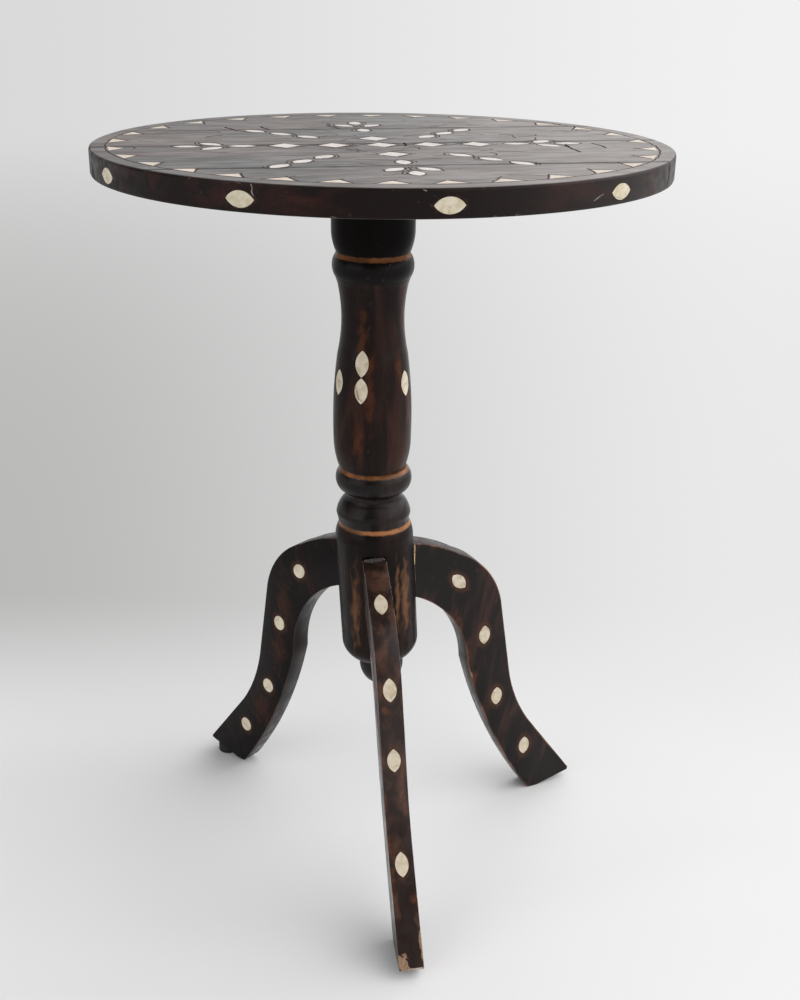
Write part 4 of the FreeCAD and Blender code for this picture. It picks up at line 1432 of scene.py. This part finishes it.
@dataclass
class Leg:
    """One sawn leg, its edges eased, with chips and worn places."""

    side: str
    angle: float
    offset: float = 0.0
    lean: float = 0.0
    axis_x: float = -4.33 * MM
    root_height: float = 250.25 * MM
    root_reach: float = 32.0 * MM
    toe_reach: float = 199.0 * MM
    thickness: float = 19.0 * MM
    ease: float = 1.1 * MM
    toe_ease: float = 2.2 * MM
    sharp_angle: float = 35.0
    side_facing: float = 0.99
    side_slack: float = 0.05 * MM
    pocket_gap: float = 0.6 * MM
    lens_depth: float = 6.0 * MM
    crease: float = 28.0
    grain_tilt: float = 12.0
    dark: Colour = tone(27, 19, 17)
    warm: Colour = tone(60, 38, 30)
    # Tones of the eased edges: their wear, and, where pale, a painted highlight along them.
    edge_wear_and_highlight_dark: Colour = tone(32, 23, 20)
    edge_wear_and_highlight: Colour = tone(84, 58, 47)
    halo: Colour = tone(98, 58, 35)
    bone: Bone = LEG_BONE
    halo_reach: float = 1.85
    halo_share: float = 0.45
    rubbed_share: float = 0.7
    side_sheen: float = 0.12
    edge_sheen: float = 0.2
    edge_patches: float = 0.36
    chips: tuple[Place, ...] = ()
    rubbed: tuple[Place, ...] = ()
    worn: tuple[Place, ...] = ()
    black: tuple[Place, ...] = ()

    def frame(self) -> Matrix:
        """Frame of the leg: +X out from the column, the board centred on Y.

        Returns:
            The frame.
        """
        turn = Matrix.Rotation(math.radians(self.angle), 4, "Z")
        aside = Matrix.Translation((0.0, self.offset, 0.0))
        upright = Matrix.Translation((self.axis_x, 0.0, 0.0)) @ turn @ aside
        root = Matrix.Translation((0.0, 0.0, self.root_height))
        return upright @ root @ Matrix.Rotation(math.radians(self.lean), 4, "X") @ root.inverted()

    def spots(self, places: Sequence[Place]) -> tuple[Spot, ...]:
        """Places of the leg as spots on the table.

        Args:
            places: The places.

        Returns:
            The spots.
        """
        frame = self.frame()
        axes = [frame.to_3x3().col[i].copy() for i in range(3)]
        made = []
        for place in places:
            half_sizes = tuple(half * MM for half in place.half_sizes)
            made.append(Spot(frame @ (Vector(place.centre) * MM), *axes, half_sizes))
        return tuple(made)

    def bevel(self, leg: Piece, wanted: Callable[[bmesh.types.BMEdge], bool], width: float) -> None:
        """Bevels the sharp edges that a test picks, in the finish of the edges.

        Args:
            leg: The board.
            wanted: Test of an edge.
            width: Width of the bevel.
        """
        select_only(leg)
        bpy.ops.object.mode_set(mode="EDIT")
        bpy.ops.mesh.select_mode(type="EDGE")
        shell = bmesh.from_edit_mesh(leg.data)
        for edge in shell.edges:
            sharp = len(edge.link_faces) == 2 and edge.calc_face_angle() > math.radians(self.sharp_angle)
            edge.select_set(sharp and wanted(edge))
        bmesh.update_edit_mesh(leg.data)
        bpy.ops.mesh.bevel(
            offset=width, segments=2, profile=0.5, affect="EDGES", clamp_overlap=True, material=EDGE_SLOT,
        )
        bpy.ops.object.mode_set(mode="OBJECT")

    def ease_edges(self, leg: Piece, inlay: Sequence[Spot]) -> None:
        """Blunts the toe, then eases the long edges of the board, and leaves the pockets sharp.

        Args:
            leg: The board.
            inlay: Places of its bone.
        """
        back = self.frame().inverted()
        half = self.thickness / 2

        def at_toe(edge: bmesh.types.BMEdge) -> bool:
            """Whether an edge is the tip of the toe."""
            return all((back @ vert.co).x > self.toe_reach for vert in edge.verts)

        def along_board(edge: bmesh.types.BMEdge) -> bool:
            """Whether an edge runs along the board, clear of the pockets and of the joint.

            Args:
                edge: The edge.

            Returns:
                True if it does.
            """
            ends = [back @ vert.co for vert in edge.verts]
            middle = (edge.verts[0].co + edge.verts[1].co) / 2
            on_side = all(abs(abs(end.y) - half) < self.side_slack for end in ends)
            clear = all((middle - s.centre).length > s.half_sizes[0] + self.pocket_gap for s in inlay)
            return on_side and clear and max(end.x for end in ends) > self.root_reach

        self.bevel(leg, at_toe, self.toe_ease)
        self.bevel(leg, along_board, self.ease)

    def mark_sides(self, leg: Piece) -> None:
        """Gives the flat sides of the board their own finish.

        Args:
            leg: The board.
        """
        across = self.frame().to_3x3().col[1]
        for face in leg.data.polygons:
            if abs(face.normal.dot(across)) > self.side_facing:
                face.material_index = SIDE_SLOT

    def chip(self, leg: Piece) -> None:
        """Knocks small chips off the board.

        Args:
            leg: The board.
        """
        for spot in self.spots(self.chips):
            tool = fresh(
                bpy.ops.mesh.primitive_ico_sphere_add, subdivisions=2, radius=1.0, location=spot.centre,
            )
            tool.scale = spot.half_sizes
            tool.rotation_euler = spot.turn()
            bpy.ops.object.transform_apply(location=True, rotation=True, scale=True)
            dress(tool, CHIPPED.material())
            cut_with(leg, tool)

    def build(self, nodes: Nodes) -> None:
        """Makes the leg and dresses it and its bone.

        Args:
            nodes: The frame's nodes.
        """
        node, inlay = "leg_" + self.side, nodes["inlay_leg_" + self.side]
        lenses = tuple(Spot.round_points(piece, self.lens_depth) for piece in islands(inlay))
        grain = (0.0, Grain.UPRIGHT.value[1] + self.grain_tilt, self.angle)
        marks = {
            "halo": self.halo, "rubbed_share": self.rubbed_share, "worn": self.spots(self.worn),
            "rubbed": self.spots(self.rubbed), "black": self.spots(self.black),
        }
        wood = StainedWood(
            node + "_wood", grain, self.dark, self.warm, sheen=self.edge_sheen, inlay=lenses,
            halo_reach=self.halo_reach, halo_share=self.halo_share, **marks,
        )
        side = replace(wood, name=node + "_side", sheen=self.side_sheen)
        # The edges' finish carries their wear and a painted highlight.
        edge = StainedWood(
            node + "_edge", grain, self.edge_wear_and_highlight_dark, self.edge_wear_and_highlight, patch_start=self.edge_patches, **marks,
        )
        leg = copy_of(nodes[node], node + "_board")
        dress(leg, wood.material(), edge.material(), side.material())
        self.mark_sides(leg)
        self.ease_edges(leg, lenses)
        self.chip(leg)
        smooth(leg, self.crease)
        keep(leg, Slot.LEG, node)
        dress(inlay, self.bone.material())


@dataclass
class JointBead:
    """A rough bead of glue or filler squeezed out of a leg joint."""

    name: str
    leg: Leg
    start: Triple
    end: Triple
    radius: float
    finish: Plain
    seed: int
    sides: int = 8
    lengths: int = 12
    swell: tuple[float, float] = (0.4, 1.5)
    end_width: float = 0.25
    end_share: float = 0.04
    crease: float = 60.0

    def build(self) -> None:
        """Makes the bead from a rod that is cut up, made uneven and rounded off."""
        frame = self.leg.frame()
        low, high = (frame @ (Vector(point) * MM) for point in (self.start, self.end))
        way = high - low
        bead = fresh(
            bpy.ops.mesh.primitive_cylinder_add, vertices=self.sides, radius=self.radius,
            depth=way.length, location=(low + high) / 2,
        )
        bead.name = self.name
        bead.rotation_euler = way.to_track_quat("Z", "Y").to_euler()
        bpy.ops.object.transform_apply(location=True, rotation=True, scale=True)
        bpy.ops.object.mode_set(mode="EDIT")
        for step in range(1, self.lengths):
            bpy.ops.mesh.select_all(action="SELECT")
            bpy.ops.mesh.bisect(plane_co=low + way * step / self.lengths, plane_no=way)
        bpy.ops.object.mode_set(mode="OBJECT")
        chance = random.Random(self.seed)
        for vert in bead.data.vertices:
            share = (vert.co - low).dot(way) / way.length_squared
            core = low + way * share
            inner = min(max(share, self.end_share), 1.0 - self.end_share)
            width = self.end_width + (1.0 - self.end_width) * math.sin(math.pi * inner) ** 0.5
            vert.co = core + (vert.co - core) * (chance.uniform(*self.swell) * width)
        rounding = bead.modifiers.new("rounding", "SUBSURF")
        rounding.levels = rounding.render_levels = 1
        settle(bead, rounding)
        smooth(bead, self.crease)
        dress(bead, self.finish.material())
        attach(bead, BODY)
        log.info("%s: %d faces", bead.name, len(bead.data.polygons))


@dataclass
class FootPad:
    """The rubber pad under the short left leg, its edges rounded."""

    ease: float = 0.7 * MM
    segments: int = 3
    sharp_angle: float = 50.0
    crease: float = 40.0

    def build(self, nodes: Nodes) -> None:
        """Makes and dresses the pad.

        Args:
            nodes: The frame's nodes.
        """
        pad = copy_of(nodes["foot_pad"], "foot_pad_rounded")
        rounding = pad.modifiers.new("rounding", "BEVEL")
        rounding.width = self.ease
        rounding.segments = self.segments
        rounding.limit_method = "ANGLE"
        rounding.angle_limit = math.radians(self.sharp_angle)
        settle(pad, rounding)
        smooth(pad, self.crease)
        dress(pad, RUBBER.material())
        keep(pad, Slot.PAD, "foot_pad")


FRONT_LEG = Leg(
    "front", -83.9, -2.5 * MM, 2.75, dark=tone(40, 28, 24), warm=tone(90, 62, 51),
    # Pale edge tones: a painted highlight along the eased edges, over their wear.
    edge_wear_and_highlight_dark=tone(150, 134, 126), edge_wear_and_highlight=tone(206, 190, 180), halo_reach=1.35, halo_share=0.35,
    side_sheen=0.5, edge_sheen=0.28, ease=1.6 * MM,
    chips=(
        Place((200.5, -10.5, 8.0), (4.0, 3.0, 4.0)),
        Place((200.5, 10.6, 8.0), (4.0, 2.6, 3.0)),
        Place((168.0, 10.3, 52.0), (1.2, 1.3, 4.0)),
    ),
    rubbed=(
        Place((116.5, -7.5, 206.0), (5.0, 2.2, 12.0)),
        Place((119.5, -4.0, 190.0), (5.0, 4.5, 4.5)),
        Place((133.0, -8.8, 112.0), (6.0, 2.0, 12.0)),
        Place((146.0, -8.6, 84.0), (9.0, 2.2, 14.0)),
        Place((160.0, -8.2, 62.0), (10.0, 2.6, 13.0)),
        Place((169.5, 7.5, 50.5), (6.0, 3.5, 6.0)),
        Place((126.0, -8.6, 150.0), (4.0, 2.0, 10.0)),
    ),
    worn=(
        Place((197.0, -6.8, 11.5), (9.0, 4.6, 10.0)),
        Place((200.0, 3.0, 6.0), (2.5, 9.0, 3.0)),
        Place((190.5, 9.6, 21.5), (14.0, 1.7, 18.0)),
    ),
    black=(Place((184.0, 0.5, 30.0), (17.0, 9.0, 24.0)), Place((180.0, 0.0, 42.0), (9.0, 8.0, 9.0))),
)
LEFT_LEG = Leg(
    # Painted light and shade: the bone is a paler copy of the leg bone, standing in for light this leg
    # lacks, and the wood is darker than the other legs' to offset the fill lamp.
    "left", 140.0, bone=PAINTED_LIGHT_BONE, dark=tone(15, 9, 8), warm=tone(39, 20, 15),
    edge_wear_and_highlight=tone(78, 54, 46), halo=tone(86, 49, 30), rubbed_share=0.38,
    rubbed=(
        Place((97.0, 9.5, 192.0), (10.0, 3.0, 30.0)),
        Place((105.0, 9.5, 142.0), (10.0, 3.0, 24.0)),
        Place((130.0, 9.5, 72.0), (14.0, 3.0, 18.0)),
        Place((79.0, 9.5, 232.0), (10.0, 3.0, 9.0)),
    ),
    worn=(Place((199.5, 2.0, 14.0), (3.0, 9.5, 4.0)),),
    black=(Place((44.0, 9.5, 254.0), (28.0, 4.0, 26.0)), Place((166.0, 9.5, 14.0), (24.0, 4.0, 14.0))),
)
RIGHT_LEG = Leg(
    "right", 24.0, dark=tone(24, 18, 17), warm=tone(62, 41, 35), edge_wear_and_highlight_dark=tone(58, 40, 34),
    edge_wear_and_highlight=tone(132, 92, 74), side_sheen=0.2,
    chips=(Place((200.5, -10.0, 9.0), (3.5, 2.5, 3.0)),),
    rubbed=(
        Place((72.0, -9.8, 190.0), (8.0, 0.9, 16.0)),
        Place((84.0, -9.8, 158.0), (6.0, 0.9, 18.0)),
        Place((92.0, -9.8, 128.0), (6.0, 0.9, 14.0)),
    ),
    worn=(Place((199.5, -2.0, 9.0), (2.4, 10.0, 3.0)), Place((90.0, -9.8, 135.0), (1.6, 0.8, 3.0))),
    black=(Place((52.0, -9.5, 246.0), (36.0, 4.0, 34.0)), Place((180.0, -9.5, 14.0), (26.0, 4.0, 16.0))),
)
BEADS = (
    JointBead("joint_glue", RIGHT_LEG, (31.8, -9.7, 254.0), (31.3, -9.7, 274.5), 1.0 * MM, GLUE, 5),
    JointBead("joint_filler", RIGHT_LEG, (31.9, -9.6, 221.0), (31.8, -9.6, 256.0), 1.2 * MM, FILLER, 7),
    JointBead("seat_filler", FRONT_LEG, (32.2, -9.2, 275.6), (32.2, 9.2, 275.6), 3.0 * MM, FILLER, 9),
)


# Room


@dataclass
class Room:
    """Pale floor, soft light and the camera."""

    floor_size: float = 90.0
    paper_tones: tuple[Colour, Colour] = (tone(239, 239, 239), tone(236, 236, 237))
    paper_mottle: float = 3.0
    paper_reach: tuple[float, float] = (0.42, 0.8)
    paper_back: tuple[float, float] = (0.12, 0.48)
    paper_far: tuple[float, float] = (0.5, 5.6)
    fan_start: float = -0.98
    fan_blur: float = 0.6
    fan_half: float = 0.32
    front_far: tuple[float, float] = (-0.6, 0.3)
    wall_radius: float = 30.0
    wall_height: float = 6.0
    # Painted light on the glowing paper: darker to the left, paler to the right, near the table and far off.
    painted_light_near: tuple[Colour, Colour] = (tone(185, 185, 184), tone(233, 233, 233))
    painted_light_far: tuple[Colour, Colour] = (tone(217, 217, 217), tone(241, 241, 241))
    bright_way: Triple = (0.8, 0.45, 0.4)
    room_light: tuple[float, float] = (0.16, 2.2)
    light_fall: float = 4.0
    aim: Triple = (0.0, 0.0, 0.35)
    lamps: tuple[tuple[str, Triple, float, float], ...] = (
        ("window", (1.4, -0.9, 1.7), 2.8, 23.0),
        ("fill", (-1.6, -1.2, 1.3), 1.8, 12.5),
    )
    camera_place: Triple = (-0.0042, -0.975741, 0.715122)
    pitch: float = 22.315
    yaw: float = 1.174
    roll: float = 0.809
    lens: float = 46.8
    sensor: float = 36.0

    def build(self) -> None:
        """Lays the paper and sets the lights and the camera."""
        self.lay_paper()
        self.light_room()
        self.hang_lamps()
        self.set_camera()
        bpy.context.scene.view_settings.view_transform = "Standard"

    def paper(self) -> Material:
        """Pale paper: lit by the lamps near the table, and farther off glowing with painted studio light,
        darker to the left and paler to the right.

        Returns:
            The material.
        """
        book = MaterialBook("floor_paper")
        mottle = book.noise(book.spot, self.paper_mottle, 2.0)
        book.finish(Base_Color=book.mix(book.fade(mottle, 0.3, 0.7), *self.paper_tones), Roughness=0.9)
        length = book.add("ShaderNodeVectorMath", operation="LENGTH")
        book.feed(length.inputs[0], book.spot)
        distance, behind = length.outputs["Value"], book.axis("Y")
        rays = book.add("ShaderNodeLightPath")
        seen = book.sum("ADD", rays.outputs["Is Camera Ray"], rays.outputs["Is Glossy Ray"])
        seen = book.sum("ADD", seen, rays.outputs["Is Transmission Ray"])
        pale = book.fade(distance, *self.paper_reach)
        pale = book.sum("MAXIMUM", pale, book.fade(behind, *self.paper_back))
        depth = book.sum("SUBTRACT", behind, self.fan_start)
        depth = book.sum("ADD", book.sum("MULTIPLY", depth, depth), self.fan_blur ** 2)
        slant = book.sum("DIVIDE", book.axis("X"), book.sum("SQRT", depth, 0.0))
        right = book.fade(slant, -self.fan_half, self.fan_half)
        far = book.fade(distance, *self.paper_far)
        far = book.sum("MAXIMUM", far, book.fade(behind, *self.front_far, 1.0, 0.0))
        # Painted light: the glow is darker to the left and paler to the right.
        shade = book.mix(far, book.mix(right, *self.painted_light_near), book.mix(right, *self.painted_light_far))
        glow = book.add("ShaderNodeEmission")
        book.feed(glow.inputs["Color"], shade)
        both = book.add("ShaderNodeMixShader")
        book.feed(both.inputs[0], book.sum("MULTIPLY", seen, pale))
        book.feed(both.inputs[1], book.shader.outputs["BSDF"])
        book.feed(both.inputs[2], glow.outputs["Emission"])
        book.feed(book.output.inputs["Surface"], both.outputs["Shader"])
        return book.material

    def lay_paper(self) -> None:
        """The floor, and a low wall far round it."""
        paper = self.paper()
        floor = fresh(bpy.ops.mesh.primitive_plane_add, size=self.floor_size)
        floor.name = "floor"
        dress(floor, paper)
        wall = fresh(
            bpy.ops.mesh.primitive_cylinder_add, radius=self.wall_radius, depth=self.wall_height,
            end_fill_type="NOTHING", location=(0.0, 0.0, self.wall_height / 2),
        )
        wall.name = "paper_wall"
        wall.visible_diffuse = wall.visible_shadow = False
        dress(wall, paper)

    def light_room(self) -> None:
        """The light of the room, brightest from one way."""
        world = bpy.data.worlds.new("room")
        bpy.context.scene.world = world
        world.use_nodes = True
        book = NodeBook(world.node_tree, "Generated")
        tilt = book.add("ShaderNodeVectorMath", operation="DOT_PRODUCT")
        book.feed(tilt.inputs[0], book.spot)
        book.feed(tilt.inputs[1], self.bright_way)
        level = book.fade(tilt.outputs["Value"], -1.0, 1.0, shape="LINEAR")
        fall = book.sum("POWER", level, self.light_fall)
        sky = world.node_tree.nodes["Background"]
        book.feed(sky.inputs["Color"], (1.0, 1.0, 1.0, 1.0))
        book.feed(sky.inputs["Strength"], book.fade(fall, 0.0, 1.0, *self.room_light, shape="LINEAR"))

    def hang_lamps(self) -> None:
        """A large soft light from the right, and a weaker one from the left."""
        for name, place, size, power in self.lamps:
            lamp = bpy.data.lights.new(name, "AREA")
            lamp.size = size
            lamp.energy = power
            holder = linked(name, lamp)
            holder.location = place
            aim = Vector(self.aim) - Vector(place)
            holder.rotation_euler = aim.to_track_quat("-Z", "Y").to_euler()

    def set_camera(self) -> None:
        """The camera, where the photograph was taken."""
        pitch, yaw, roll = (math.radians(a) for a in (self.pitch, self.yaw, self.roll))
        ahead = Vector((math.sin(yaw) * math.cos(pitch), math.cos(yaw) * math.cos(pitch), -math.sin(pitch)))
        right = Vector((math.cos(yaw), -math.sin(yaw), 0.0))
        up = right.cross(ahead)
        level = Matrix((right, up, -ahead)).transposed()
        turned = level @ Matrix.Rotation(roll, 3, "Z")
        data = bpy.data.cameras.new("camera")
        data.sensor_fit = "VERTICAL"
        data.sensor_height = self.sensor
        data.lens = self.lens
        camera = linked("camera", data)
        camera.matrix_world = Matrix.Translation(self.camera_place) @ turned.to_4x4()
        bpy.context.scene.camera = camera


def main() -> None:
    """Builds the table round its frame."""
    logging.basicConfig(level=logging.INFO, format="%(name)s: %(message)s")
    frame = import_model()
    nodes = frame["nodes"]
    Room().build()
    RoundTop().build(nodes)
    TurnedColumn().build(nodes)
    for leg in (FRONT_LEG, LEFT_LEG, RIGHT_LEG):
        leg.build(nodes)
    for bead in BEADS:
        bead.build()
    FootPad().build(nodes)


if __name__ == "__main__":
    main()
